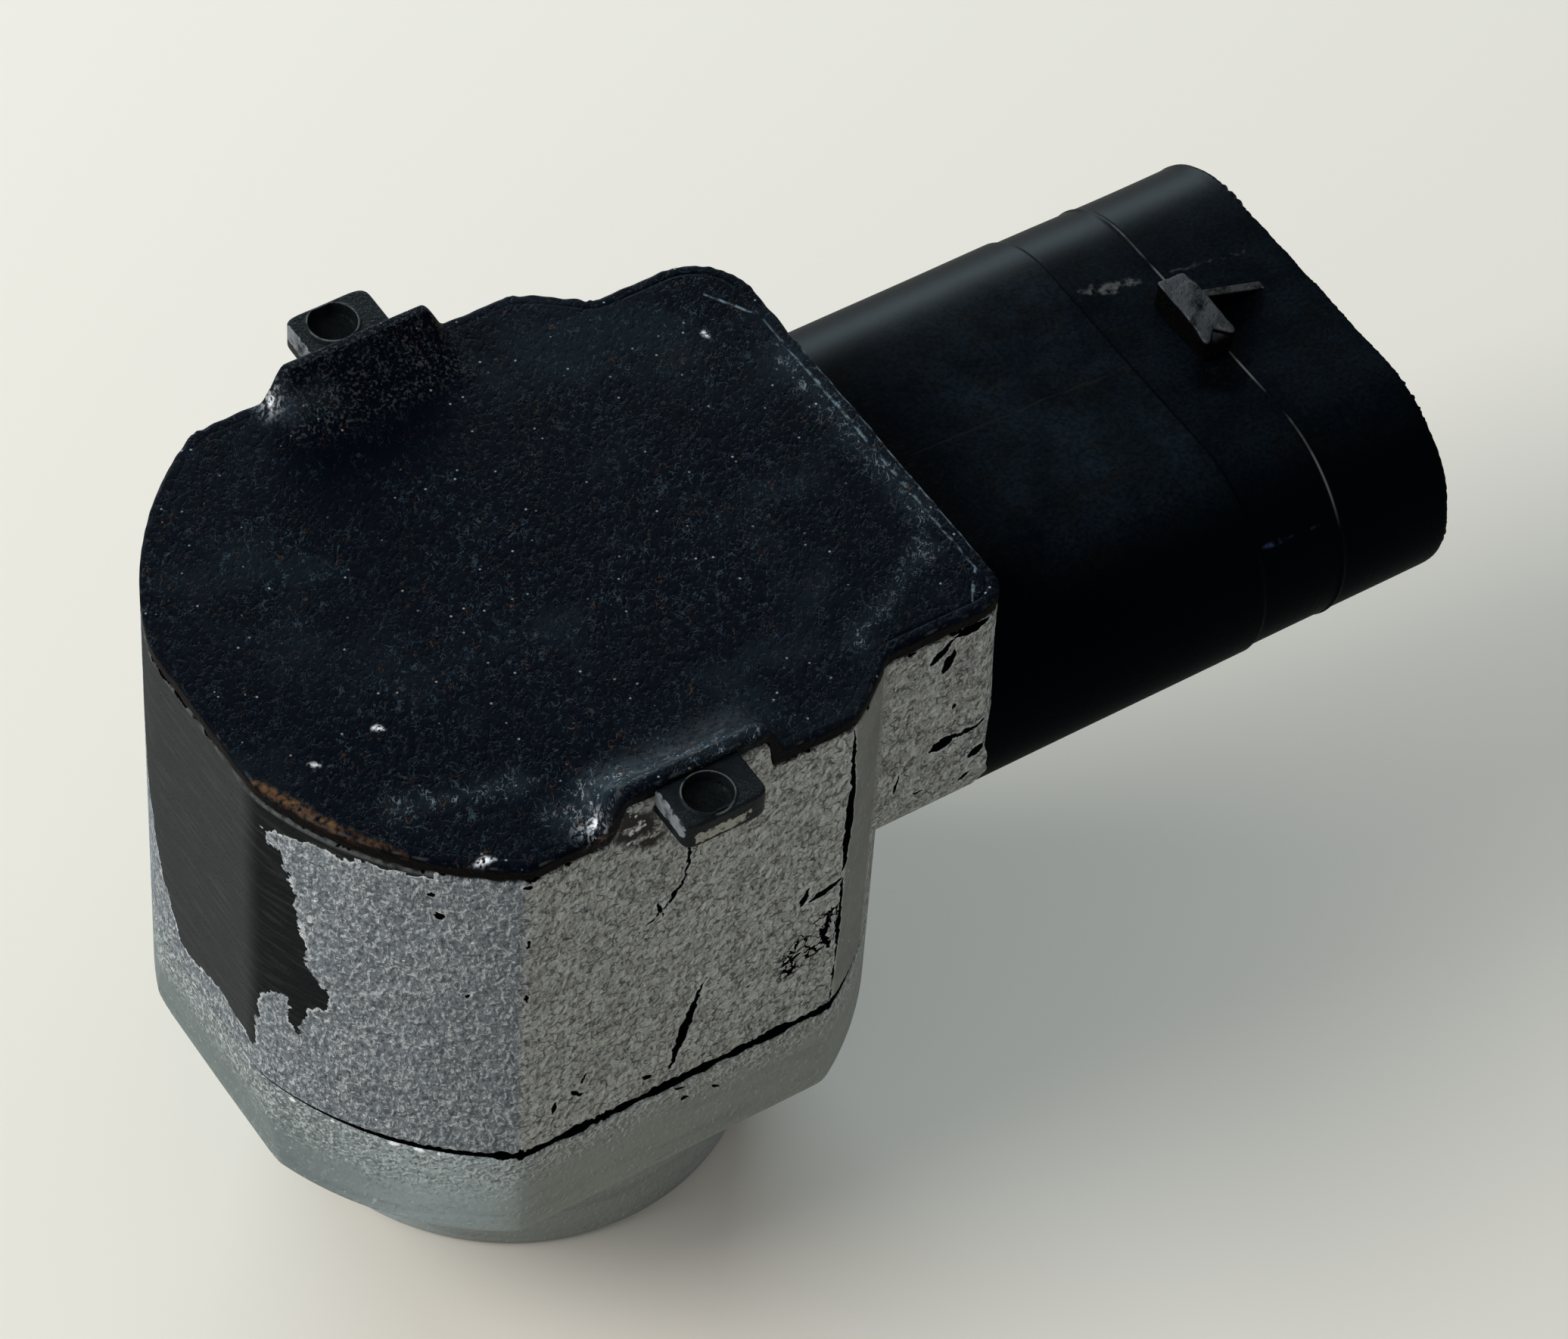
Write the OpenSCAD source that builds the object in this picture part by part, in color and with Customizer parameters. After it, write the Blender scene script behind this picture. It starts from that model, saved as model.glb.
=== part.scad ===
// Ultrasonic parking sensor, standing on its nose: front face at z = 0, rear face up, connector towards +X.

/* [Body] */
// Radius of the round body
body_r = 13.8; // [13.4:0.1:15]
// Distance from the axis to each side flat
flat_y = 12; // [11.4:0.1:12.6]
// Distance from the axis to the label flat
label_x = 13.3; // [12.6:0.1:13.4]
// Height from the front face to the rear face
body_h = 29.2; // [28.4:0.1:33]
// Thickness of the housing wall
wall = 1.4; // [1.2:0.1:1.8]

/* [Front collar and nose] */
// Height of the joint line between collar and housing
joint_z = 11.9; // [11.6:0.1:13]
// Width of the groove at the joint line
groove_w = 0.4; // [0.2:0.05:0.6]
// Depth of the groove at the joint line
groove_d = 0.5; // [0.3:0.05:0.7]
// Height of the collar's underside, where the nose begins
collar_z = 6.9; // [6.2:0.1:7.8]
// Thickness of the collar's floor
collar_floor = 1.4; // [1:0.1:1.8]
// How far the collar's lower edge leans in under the label flat
label_lean = 0.35; // [0.1:0.05:0.6]
// Distance below the joint line where that lean begins
label_lean_drop = 1.2; // [0.8:0.1:1.6]
// Thickness of the nose sleeve
nose_wall = 1; // [0.8:0.1:1.2]
// Rounding of the nose's front edge
nose_edge_r = 0.4; // [0.2:0.05:0.6]

/* [Connector] */
// Distance from the axis to the block's connector face
block_x = 15; // [14.6:0.1:16]
// Half width of the connector block
block_y = 10.1; // [9.6:0.1:10.6]
// Vertical corner radius of the block on the far side
block_far_r = 2.6; // [1.6:0.1:3]
// Vertical corner radius of the block on the near side
block_near_r = 1.4; // [1:0.1:2.4]
// Distance from the rear face down to the shroud's centre line
socket_drop = 8.7; // [8.2:0.1:9.2]
// Half width of the shroud
shroud_y = 10.2; // [9.8:0.1:10.6]
// Height of the shroud
shroud_h = 10.2; // [9.8:0.1:10.6]
// Distance from the axis to the shroud's mouth
shroud_x = 36.3; // [35:0.1:38]
// Thickness of the shroud's wall
shroud_wall = 1.3; // [1.1:0.1:1.5]
// Depth of the socket
socket_depth = 16.5; // [15.5:0.1:17.5]
// Thickness of the socket's floor
socket_floor = 1.5; // [1.2:0.1:2]
// Length of the slimmer end section of the shroud
slim_len = 9; // [7:0.1:10]
// How much slimmer the end section is on each side
slim_step = 0.1; // [0.05:0.01:0.2]
// Distance of the moulding ridge from the mouth
ridge_back = 5.3; // [4.8:0.1:6]
// Width of the moulding ridge
ridge_w = 0.25; // [0.15:0.05:0.4]
// Height of the moulding ridge
ridge_h = 0.1; // [0.05:0.01:0.2]

/* [Latch nub] */
// Distance of the nub's centre from the mouth
nub_back = 6; // [5.4:0.1:6.6]
// Length of the nub across the shroud
nub_y = 3.5; // [3:0.1:4.5]
// Width of the nub along the shroud
nub_x = 1.4; // [1.2:0.1:1.8]
// Height of the nub
nub_h = 1.4; // [1:0.1:1.6]
// Length of the gusset that backs the nub
gusset_len = 3.1; // [2.5:0.1:3.4]
// Thickness of the gusset
gusset_t = 0.4; // [0.3:0.05:0.6]

/* [Rear cover and lugs] */
// Height of the cover's visible edge
cover_edge = 0.9; // [0.8:0.05:1.2]
// Chamfer of the cover's edge
cover_chamfer = 0.35; // [0.2:0.05:0.5]
// Depth of the cover's rim inside the housing
rim_depth = 1.2; // [0.8:0.1:1.6]
// Length of each raised lip at its foot
lip_len = 7.2; // [6.8:0.1:8]
// Length of each raised lip at its top
lip_top_len = 6.4; // [6:0.1:6.7]
// Height of each raised lip above the rear face
lip_h = 1.6; // [1.4:0.05:2]
// Width of the lip's level top
lip_flat = 0.5; // [0.3:0.05:0.7]
// Distance over which the lip falls to the rear face
lip_run = 3.6; // [3:0.1:4.2]
// Radius of the hollow slope inside each lip
lip_ramp_r = 6; // [5:0.1:8]
// Height above the rear face of the housing wall under each lip
post_h = 0.95; // [0.6:0.05:1.05]
// Thickness of the housing wall under each lip
post_t = 0.9; // [0.7:0.05:1.1]
// Width of each lug
lug_w = 3.5; // [3.2:0.1:4.2]
// How far each lug stands out from its flat
lug_reach = 2.1; // [2.05:0.05:2.3]
// Thickness of each lug
lug_t = 1.25; // [1.1:0.05:1.5]
// Height of each lug's top above the rear face
lug_top = 1.25; // [1.1:0.05:1.35]
// Corner radius of each lug
lug_corner_r = 0.5; // [0.3:0.05:0.7]
// Radius of the round mark on each lug
mark_r = 0.88; // [0.7:0.01:0.92]
// Depth of the round mark
mark_d = 0.5; // [0.3:0.05:0.7]
// Distance of the mark's centre from the side flat
mark_out = 1.05; // [1:0.01:1.1]

/* [Transducer] */
// Outer radius of the aluminium cup
cup_r = 7.75; // [7.4:0.05:7.9]
// Height of the cup
cup_h = 9; // [8.4:0.1:9.2]
// Thickness of the cup's wall
cup_wall = 1.1; // [0.9:0.05:1.3]
// Thickness of the membrane
membrane_t = 0.8; // [0.6:0.05:1]
// Radial thickness of the silicone ring
ring_t = 0.85; // [0.7:0.05:1]
// How far the ring lies behind the front face
ring_recess = 0.4; // [0.2:0.05:0.6]
// Thickness of the ring's flange behind the cup
ring_flange = 0.8; // [0.6:0.05:1]
// Radius of the piezo disc
piezo_r = 3.4; // [3:0.1:3.8]
// Thickness of the piezo disc
piezo_t = 0.25; // [0.2:0.05:0.4]
// Thickness of the foam plug
foam_t = 5.4; // [4.5:0.1:6]
// Thickness of the cap's plate
cap_t = 1.5; // [1.2:0.1:1.8]
// Height of the cap's posts
cap_post_h = 3.9; // [3.4:0.1:4.4]
// Radius of the cap's posts
cap_post_r = 0.9; // [0.7:0.05:1.1]
// Radius of the circle on which the posts stand
cap_post_pcd_r = 6.6; // [6.2:0.1:7]
// Radius of the two leads
lead_r = 0.25; // [0.2:0.01:0.3]
// Distance of the signal lead from the axis
signal_lead_x = 1.5; // [1:0.1:2]
// Distance of the ground lead from the cup's inner wall
ground_lead_in = 1.65; // [1:0.05:2]
// How far the leads stand out above the board
lead_stub = 0.4; // [0.2:0.1:0.8]

/* [Circuit board] */
// Thickness of the board
board_t = 1.2; // [1:0.1:1.6]
// Gap between the board's edge and the housing's wall
board_gap = 0.5; // [0.3:0.05:0.8]
// Gap between neighbouring pieces on the board
part_gap = 0.8; // [0.6:0.05:1]
// Height of the storage capacitor
capacitor_h = 5; // [4:0.1:6]
// Radius of the storage capacitor
capacitor_r = 2.1; // [1.8:0.1:2.3]
// Place of the transformer along X
transformer_x = -3.6; // [-4:0.1:-3.2]
// Place of the transformer along Y
transformer_y = 3.9; // [3.6:0.1:4.2]
// Height of the transformer
transformer_h = 5; // [4.4:0.1:6]
// Width of the transformer's base
transformer_w = 6; // [5.6:0.1:6.4]
// Thickness of the transformer's bobbin flanges
bobbin_flange = 0.7; // [0.5:0.05:0.9]
// Thickness of the bobbin's tube
bobbin_tube = 0.35; // [0.25:0.05:0.5]
// Radius of the transformer's centre post
core_post_r = 1.1; // [0.9:0.05:1.2]
// Thickness of the transformer's outer legs
core_leg = 0.8; // [0.6:0.05:1]
// Depth of the transformer's yoke
core_depth = 2.6; // [2.2:0.1:3]
// Thickness of the transformer's yoke
core_yoke = 1; // [0.8:0.05:1.2]
// Radial thickness of the winding
winding_t = 0.9; // [0.7:0.05:1]
// Place of the control chip along X
chip_x = -3.4; // [-3.8:0.1:-3]
// Place of the control chip along Y
chip_y = -4.2; // [-4.6:0.1:-3.8]
// Length of the control chip
chip_len = 5; // [4.6:0.1:5.4]
// Width of the control chip
chip_w = 3.8; // [3.4:0.1:4]
// Height of the control chip
chip_h = 1.4; // [1:0.1:1.8]
// Width of the chip's legs
chip_leg = 0.4; // [0.3:0.05:0.5]
// Reach of the chip's legs
chip_leg_reach = 0.9; // [0.7:0.05:1.1]
// Spacing of the chip's legs
chip_leg_pitch = 1.27; // [1.1:0.01:1.3]
// Length of the small capacitors and resistors
small_len = 1.6; // [1.2:0.1:2]
// Width of the small capacitors and resistors
small_w = 0.85; // [0.6:0.05:1]
// Spacing of the small capacitors and resistors
small_pitch = 1.6; // [1.4:0.05:1.65]
// Height of the ceramic capacitors
ceramic_h = 0.9; // [0.6:0.05:1.2]
// Height of the resistors
resistor_h = 0.5; // [0.4:0.05:0.7]
// Distance of each row of small pieces from the chip's centre line
row_shift = 1.4; // [1.3:0.05:1.6]
// Side of the square contact pins
pin_w = 0.63; // [0.5:0.01:0.8]
// Spacing of the contact pins
pin_pitch = 2.54; // [2.3:0.01:2.8]
// Length of the contact pins inside the socket
pin_reach = 10.6; // [9.5:0.1:11]
// Distance of the pins' bent tails from the axis
pin_tail_x = 6.8; // [6.4:0.1:7.6]
// How far the pins' tails pass below the board
pin_tail_drop = 0.8; // [0.4:0.1:1.2]
// Length of the comb that holds the pins
comb_len = 5; // [4:0.1:6]

/* [Hidden] */
$fn = 96;

// Clearance between pieces that slip into each other
fit_gap = 0.05;
// Clearance round a lead or pin that passes through a plate
lead_gap = 0.1;
// Overlap between solids of one moulding
weld = 0.3;
// Length by which a cut passes its piece
over = 1;
// Length that surely passes the whole part
long = 100;

seam_z = body_h - cover_edge;
seat_z = joint_z + groove_w / 2;
groove_z = joint_z - groove_w / 2;
sleeve_r = cup_r + ring_t;
nose_r = sleeve_r + nose_wall;
socket_z = body_h - socket_drop;
shroud_top = socket_z + shroud_h / 2;
floor_out_x = shroud_x - socket_depth;
floor_in_x = floor_out_x - socket_floor;
ring_top = cup_h + ring_flange;
cap_top = ring_top + cap_t;
board_z = cap_top + cap_post_h;
board_top = board_z + board_t;
ground_lead_x = cup_r - cup_wall - ground_lead_in;
pin_tail_z = board_z - pin_tail_drop;
pin_tip_x = floor_out_x + pin_reach;
lug_z = body_h + lug_top;
sides = [-1, 1];

// Plan of the round body with its side flats and label flat, moved in by inset
module body_plan(inset = 0) {
    intersection() {
        circle(r = body_r - inset);
        translate([inset - label_x, inset - flat_y]) square([long, 2 * (flat_y - inset)]);
    }
}

// Plan of the connector block, from the axis to its rounded connector corners
module block_plan(inset = 0) {
    half = block_y - inset;
    end = block_x - inset;
    far_r = max(block_far_r - inset, 0.2);
    near_r = max(block_near_r - inset, 0.2);
    square_end = end - max(far_r, near_r);
    translate([0, -half]) square([square_end, 2 * half]);
    translate([0, near_r - half]) square([end, 2 * half - near_r - far_r]);
    translate([0, -half]) square([end - near_r, half]);
    translate([end - near_r, near_r - half]) circle(r = near_r);
    translate([end - far_r, half - far_r]) circle(r = far_r);
}

// Prism of the whole plan between two heights
module shell_block(z_low, z_high, inset = 0) {
    translate([0, 0, z_low]) linear_extrude(z_high - z_low) {
        body_plan(inset);
        block_plan(inset);
    }
}

// Oval section of the shroud, moved in by inset, carried along X
module oval_bar(x_low, x_high, inset = 0) {
    half_h = shroud_h / 2 - inset;
    centre_y = shroud_y - inset - half_h;
    translate([x_low, 0, socket_z]) rotate([90, 0, 90]) linear_extrude(x_high - x_low) {
        square([2 * centre_y, 2 * half_h], center = true);
        for (side = sides) translate([side * centre_y, 0]) circle(r = half_h);
    }
}

// Latch nub on top of the shroud, with the gusset that backs it towards the mouth
module latch_nub() {
    nub_centre = shroud_x - nub_back;
    foot = shroud_top - slim_step - weld;
    height = nub_h + slim_step + weld;
    translate([nub_centre - nub_x / 2, -nub_y / 2, foot]) cube([nub_x, nub_y, height]);
    translate([nub_centre, gusset_t / 2, foot]) rotate([90, 0, 0]) linear_extrude(gusset_t)
        polygon([[0, 0], [nub_x / 2 + gusset_len, 0], [nub_x / 2 + gusset_len, weld], [0, height]]);
}

// Lug on one side flat, with its shallow round mark and the wall that carries it
module lug(side) {
    post_len = lip_top_len;
    mark_y = flat_y + mark_out;
    mark_rim = 0.1;
    mark_rim_h = 0.08;
    mirror([0, side < 0 ? 1 : 0, 0]) {
        translate([-post_len / 2, flat_y - post_t, seam_z - weld])
            cube([post_len, post_t, body_h + post_h - seam_z + weld]);
        difference() {
            union() {
                translate([0, 0, lug_z - lug_t]) linear_extrude(lug_t) lug_plan();
                translate([-lug_w / 2, flat_y - post_t / 2, lug_z - lug_t])
                    cube([lug_w, post_t / 2 + weld, lug_t + post_h - lug_top]);
                translate([0, mark_y, lug_z - weld]) cylinder(r = mark_r + mark_rim, h = weld + mark_rim_h);
            }
            translate([0, mark_y, lug_z - mark_d]) cylinder(r = mark_r, h = mark_d + over);
        }
    }
}

// Plan of a lug, square at the flat and rounded at its outer corners
module lug_plan() {
    inner = lug_w / 2 - lug_corner_r;
    translate([-lug_w / 2, flat_y]) square([lug_w, lug_reach - lug_corner_r]);
    translate([-inner, flat_y]) square([2 * inner, lug_reach]);
    for (side = sides) translate([side * inner, flat_y + lug_reach - lug_corner_r])
        circle(r = lug_corner_r);
}

// Moulding with the body wall, connector block, shroud, nub and lugs
module housing() {
    slim_x = shroud_x - slim_len;
    ridge_x = shroud_x - ridge_back - ridge_w / 2;
    color([0.55, 0.55, 0.52]) {
        difference() {
            union() {
                translate([0, 0, seat_z]) linear_extrude(seam_z - seat_z) body_plan();
                translate([0, 0, socket_z]) linear_extrude(seam_z - socket_z) block_plan();
                oval_bar(0, slim_x);
                oval_bar(slim_x - weld, shroud_x, slim_step);
                oval_bar(ridge_x, ridge_x + ridge_w, slim_step - ridge_h);
                latch_nub();
                for (side = sides) lug(side);
            }
            translate([0, 0, seat_z - over]) linear_extrude(long) body_plan(wall);
            translate([0, 0, shroud_top]) linear_extrude(long) block_plan(wall);
            oval_bar(0, floor_in_x, shroud_wall);
            oval_bar(floor_out_x, long, shroud_wall + slim_step);
            for (step = [-1, 0, 1]) pin_slot(step);
        }
    }
}

// Slot for one contact pin through the socket's floor
module pin_slot(step) {
    translate([floor_in_x - over, step * pin_pitch - pin_w / 2, socket_z - pin_w / 2])
        cube([socket_floor + 2 * over, pin_w, pin_w]);
}

// Lower body section under the joint line, with the nose sleeve and a cored-out floor
module front_collar() {
    core_r = flat_y - wall + weld;
    lean_z = joint_z - label_lean_drop;
    color([0.6, 0.61, 0.58]) difference() {
        union() {
            intersection() {
                union() {
                    translate([0, 0, collar_z]) linear_extrude(groove_z - collar_z) body_plan();
                    translate([0, 0, collar_z]) linear_extrude(seat_z - collar_z) body_plan(groove_d);
                }
                rotate([90, 0, 0]) linear_extrude(long, center = true)
                    polygon([[2 * label_lean - label_x, 2 * collar_z - lean_z],
                        [-label_x - label_lean, 2 * lean_z - collar_z],
                        [long, 2 * lean_z - collar_z], [long, 2 * collar_z - lean_z]]);
            }
            rotate_extrude() {
                square([nose_r - nose_edge_r, collar_z + weld]);
                translate([0, nose_edge_r]) square([nose_r, collar_z + weld - nose_edge_r]);
                translate([nose_r - nose_edge_r, nose_edge_r]) circle(r = nose_edge_r);
            }
        }
        translate([0, 0, collar_z + collar_floor]) difference() {
            linear_extrude(long) body_plan(wall);
            cylinder(r = core_r, h = long);
        }
        translate([0, 0, -over]) cylinder(r = sleeve_r, h = long);
    }
}

// Raised lip of the cover beside one lug, with a hollow slope and leaning ends
module cover_lip(side) {
    run = lip_run - lip_flat;
    chord = sqrt(run * run + lip_h * lip_h);
    sag = sqrt(lip_ramp_r * lip_ramp_r - chord * chord / 4);
    foot_y = flat_y - lip_run;
    ramp_y = foot_y + run / 2 - sag * lip_h / chord;
    ramp_z = lip_h / 2 + sag * run / chord;
    edge = 0.25;
    mirror([0, side < 0 ? 1 : 0, 0]) translate([0, 0, body_h]) intersection() {
        rotate([90, 0, 90]) linear_extrude(long, center = true) difference() {
            polygon([[foot_y, -cover_edge], [flat_y, -cover_edge], [flat_y, lip_h - edge],
                [flat_y - edge, lip_h], [foot_y, lip_h]]);
            translate([ramp_y, ramp_z]) circle(r = lip_ramp_r);
        }
        rotate([90, 0, 0]) linear_extrude(long, center = true)
            polygon([[-lip_len / 2, -cover_edge], [lip_len / 2, -cover_edge], [lip_len / 2, 0],
                [lip_top_len / 2, lip_h], [-lip_top_len / 2, lip_h], [-lip_len / 2, 0]]);
    }
}

// Slab of the cover's body part with a chamfered upper edge
module chamfered_body() {
    low = body_h - cover_chamfer;
    intersection() {
        rotate_extrude() polygon([[0, seam_z], [body_r, seam_z], [body_r, low],
            [body_r - cover_chamfer, body_h], [0, body_h]]);
        rotate([90, 0, 90]) linear_extrude(long, center = true) chamfered_section(flat_y, low);
        rotate([90, 0, 0]) linear_extrude(long, center = true)
            polygon([[-label_x, seam_z], [long, seam_z], [long, body_h], [cover_chamfer - label_x, body_h],
                [-label_x, low]]);
    }
}

// Section across a slab with both upper edges chamfered
module chamfered_section(half, low) {
    polygon([[-half, seam_z], [half, seam_z], [half, low], [half - cover_chamfer, body_h],
        [cover_chamfer - half, body_h], [-half, low]]);
}

// Slab of the cover's block part with a chamfered upper edge and rounded corners
module chamfered_block() {
    low = body_h - cover_chamfer;
    intersection() {
        translate([0, 0, seam_z]) linear_extrude(cover_edge) block_plan();
        rotate([90, 0, 90]) linear_extrude(long) chamfered_section(block_y, low);
        rotate([90, 0, 0]) linear_extrude(long, center = true)
            polygon([[0, seam_z], [block_x, seam_z], [block_x, low], [block_x - cover_chamfer, body_h],
                [0, body_h]]);
    }
}

// Black lid with its rim inside the housing and its two raised lips
module rear_cover() {
    color([0.07, 0.08, 0.1]) difference() {
        union() {
            chamfered_body();
            chamfered_block();
            shell_block(seam_z - rim_depth, seam_z + weld, wall + fit_gap);
            for (side = sides) cover_lip(side);
        }
        for (side = sides) mirror([0, side < 0 ? 1 : 0, 0])
            translate([-lip_top_len / 2, flat_y - post_t, seam_z - long])
                cube([lip_top_len, long, body_h + post_h - seam_z + long]);
    }
}

// Aluminium pot whose closed end is the membrane
module transducer_cup() {
    color([0.75, 0.76, 0.78]) difference() {
        cylinder(r = cup_r, h = cup_h);
        translate([0, 0, membrane_t]) cylinder(r = cup_r - cup_wall, h = cup_h);
    }
}

// Silicone ring between the cup and the nose sleeve, with a flange behind the cup
module decoupling_ring() {
    color([0.1, 0.1, 0.1]) rotate_extrude() {
        translate([cup_r, ring_recess]) square([sleeve_r - cup_r, ring_top - ring_recess]);
        translate([cup_r - cup_wall, cup_h]) square([sleeve_r - cup_r + cup_wall, ring_flange]);
    }
}

// Ceramic disc on the membrane
module piezo_disc() {
    color([0.85, 0.82, 0.7]) translate([0, 0, membrane_t]) cylinder(r = piezo_r, h = piezo_t);
}

// Holes for the two leads through a plate that stands between two heights
module lead_holes(z_low, z_high) {
    for (x = [signal_lead_x, -ground_lead_x]) translate([x, 0, z_low])
        cylinder(r = lead_r + lead_gap, h = z_high - z_low);
}

// Foam plug behind the piezo disc
module damping_foam() {
    foam_z = membrane_t + piezo_t;
    color([0.3, 0.3, 0.32]) difference() {
        translate([0, 0, foam_z]) cylinder(r = cup_r - cup_wall - fit_gap, h = foam_t);
        lead_holes(0, board_z);
    }
}

// Plate that closes the cup, with the posts that carry the board
module transducer_cap() {
    color([0.2, 0.2, 0.22]) {
        difference() {
            translate([0, 0, ring_top]) cylinder(r = sleeve_r - fit_gap, h = cap_t);
            lead_holes(0, board_z);
        }
        for (turn = [45 : 90 : 315]) rotate(turn) translate([cap_post_pcd_r, 0, cap_top - weld])
            cylinder(r = cap_post_r, h = cap_post_h + weld);
    }
}

// Straight wire from a given height up through the board
module lead(x, z_low) {
    color([0.8, 0.5, 0.3]) translate([x, 0, z_low]) cylinder(r = lead_r, h = board_top + lead_stub - z_low);
}

// Wire from the piezo disc to the board
module signal_lead() {
    lead(signal_lead_x, membrane_t + piezo_t);
}

// Wire from the membrane to the board
module ground_lead() {
    lead(-ground_lead_x, membrane_t);
}

// Board on the cap's posts, cut to the housing's inside and drilled for the leads and pins
module circuit_board() {
    color([0.1, 0.4, 0.2]) difference() {
        translate([0, 0, board_z]) linear_extrude(board_t) body_plan(wall + board_gap);
        lead_holes(0, long);
        for (step = [-1, 0, 1]) translate([pin_tail_x, step * pin_pitch, 0])
            cylinder(r = pin_w / sqrt(2) + lead_gap, h = long);
    }
}

// Ferrite yoke with a centre post and two outer legs
module transformer_core() {
    top = transformer_h - core_yoke;
    width = transformer_w + 2 * core_leg;
    color([0.25, 0.25, 0.27]) translate([transformer_x, transformer_y, board_top]) {
        translate([0, 0, bobbin_flange]) cylinder(r = core_post_r, h = top - bobbin_flange + weld);
        translate([-width / 2, -core_depth / 2, top]) cube([width, core_depth, core_yoke]);
        for (side = sides) translate([side * (width - core_leg) / 2, 0, (top + weld) / 2])
            cube([core_leg, core_depth, top + weld], center = true);
    }
}

// Bobbin with a square base flange, a tube round the centre post and a round upper flange
module transformer_bobbin() {
    tube_r = core_post_r + bobbin_tube;
    upper = transformer_h - core_yoke - bobbin_flange;
    color([0.15, 0.15, 0.15]) translate([transformer_x, transformer_y, board_top]) {
        translate([0, 0, bobbin_flange / 2])
            cube([transformer_w, transformer_w, bobbin_flange], center = true);
        difference() {
            union() {
                translate([0, 0, bobbin_flange / 2]) cylinder(r = tube_r, h = upper);
                translate([0, 0, upper]) cylinder(r = tube_r + winding_t, h = bobbin_flange);
            }
            translate([0, 0, bobbin_flange]) cylinder(r = core_post_r, h = transformer_h);
        }
    }
}

// Copper winding on the bobbin
module transformer_winding() {
    tube_r = core_post_r + bobbin_tube;
    upper = transformer_h - core_yoke - bobbin_flange;
    low = board_top + bobbin_flange;
    color([0.7, 0.4, 0.2]) translate([transformer_x, transformer_y, low]) difference() {
        cylinder(r = tube_r + winding_t, h = upper - bobbin_flange);
        translate([0, 0, -over]) cylinder(r = tube_r, h = transformer_h);
    }
}

// Control chip with four legs on each long side
module control_chip() {
    color([0.12, 0.12, 0.12]) translate([chip_x, chip_y, board_top]) {
        translate([-chip_len / 2, -chip_w / 2, chip_leg / 2]) cube([chip_len, chip_w, chip_h]);
        for (side = sides, slot = [-1.5 : 1 : 1.5]) mirror([0, side < 0 ? 1 : 0, 0])
            translate([slot * chip_leg_pitch - chip_leg / 2, chip_w / 2 - weld, 0])
            cube([chip_leg, weld + chip_leg_reach, chip_leg]);
    }
}

// Upright storage capacitor beside the transformer
module storage_capacitor() {
    x = transformer_x + transformer_w / 2 + core_leg + part_gap + capacitor_r;
    color([0.5, 0.5, 0.55]) translate([x, transformer_y, board_top])
        cylinder(r = capacitor_r, h = capacitor_h);
}

// Row of small chips beside the control chip, on one side of its centre line
module small_row(count, height, side) {
    first_x = chip_x + chip_len / 2 + part_gap;
    for (slot = [0 : count - 1])
        translate([first_x + slot * small_pitch, chip_y + side * row_shift - small_len / 2, board_top])
        cube([small_w, small_len, height]);
}

// Ceramic capacitors in a row
module ceramic_capacitors() {
    color([0.65, 0.55, 0.4]) small_row(3, ceramic_h, 1);
}

// Resistors in a row
module chip_resistors() {
    color([0.15, 0.15, 0.15]) small_row(4, resistor_h, -1);
}

// Bent square pin from the board through the comb and the socket's floor
module contact_pin(step) {
    color([0.8, 0.75, 0.5]) translate([0, step * pin_pitch + pin_w / 2, 0]) rotate([90, 0, 0])
        linear_extrude(pin_w) polygon([[pin_tail_x - pin_w / 2, pin_tail_z],
            [pin_tail_x + pin_w / 2, pin_tail_z], [pin_tail_x + pin_w / 2, socket_z - pin_w / 2],
            [pin_tip_x - pin_w, socket_z - pin_w / 2],
            [pin_tip_x, socket_z - pin_w / 8], [pin_tip_x, socket_z + pin_w / 8],
            [pin_tip_x - pin_w, socket_z + pin_w / 2], [pin_tail_x, socket_z + pin_w / 2],
            [pin_tail_x - pin_w / 2, socket_z]]);
}

// Contact pin on the near side
module power_pin() {
    contact_pin(-1);
}

// Contact pin in the middle
module data_pin() {
    contact_pin(0);
}

// Contact pin on the far side
module ground_pin() {
    contact_pin(1);
}

// Comb that holds the pins behind the socket's floor
module terminal_comb() {
    color([0.2, 0.2, 0.2]) difference() {
        oval_bar(floor_in_x - comb_len, floor_in_x, shroud_wall + fit_gap);
        for (step = [-1, 0, 1]) translate([floor_in_x, step * pin_pitch, socket_z])
            cube([2 * long, pin_w, pin_w], center = true);
    }
}

housing();
front_collar();
rear_cover();
transducer_cup();
decoupling_ring();
piezo_disc();
damping_foam();
transducer_cap();
signal_lead();
ground_lead();
circuit_board();
transformer_core();
transformer_bobbin();
transformer_winding();
control_chip();
storage_capacitor();
ceramic_capacitors();
chip_resistors();
power_pin();
data_pin();
ground_pin();
terminal_comb();
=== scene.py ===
"""Dressed scene of a worn parking sensor: flaked paint, grained rear cover and oval connector shroud."""
import logging
import math
from dataclasses import dataclass, field, replace
from enum import Enum
from typing import Iterable, Optional, Sequence, Union

import bpy
import numpy as np
from mathutils import Matrix, Vector


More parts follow.
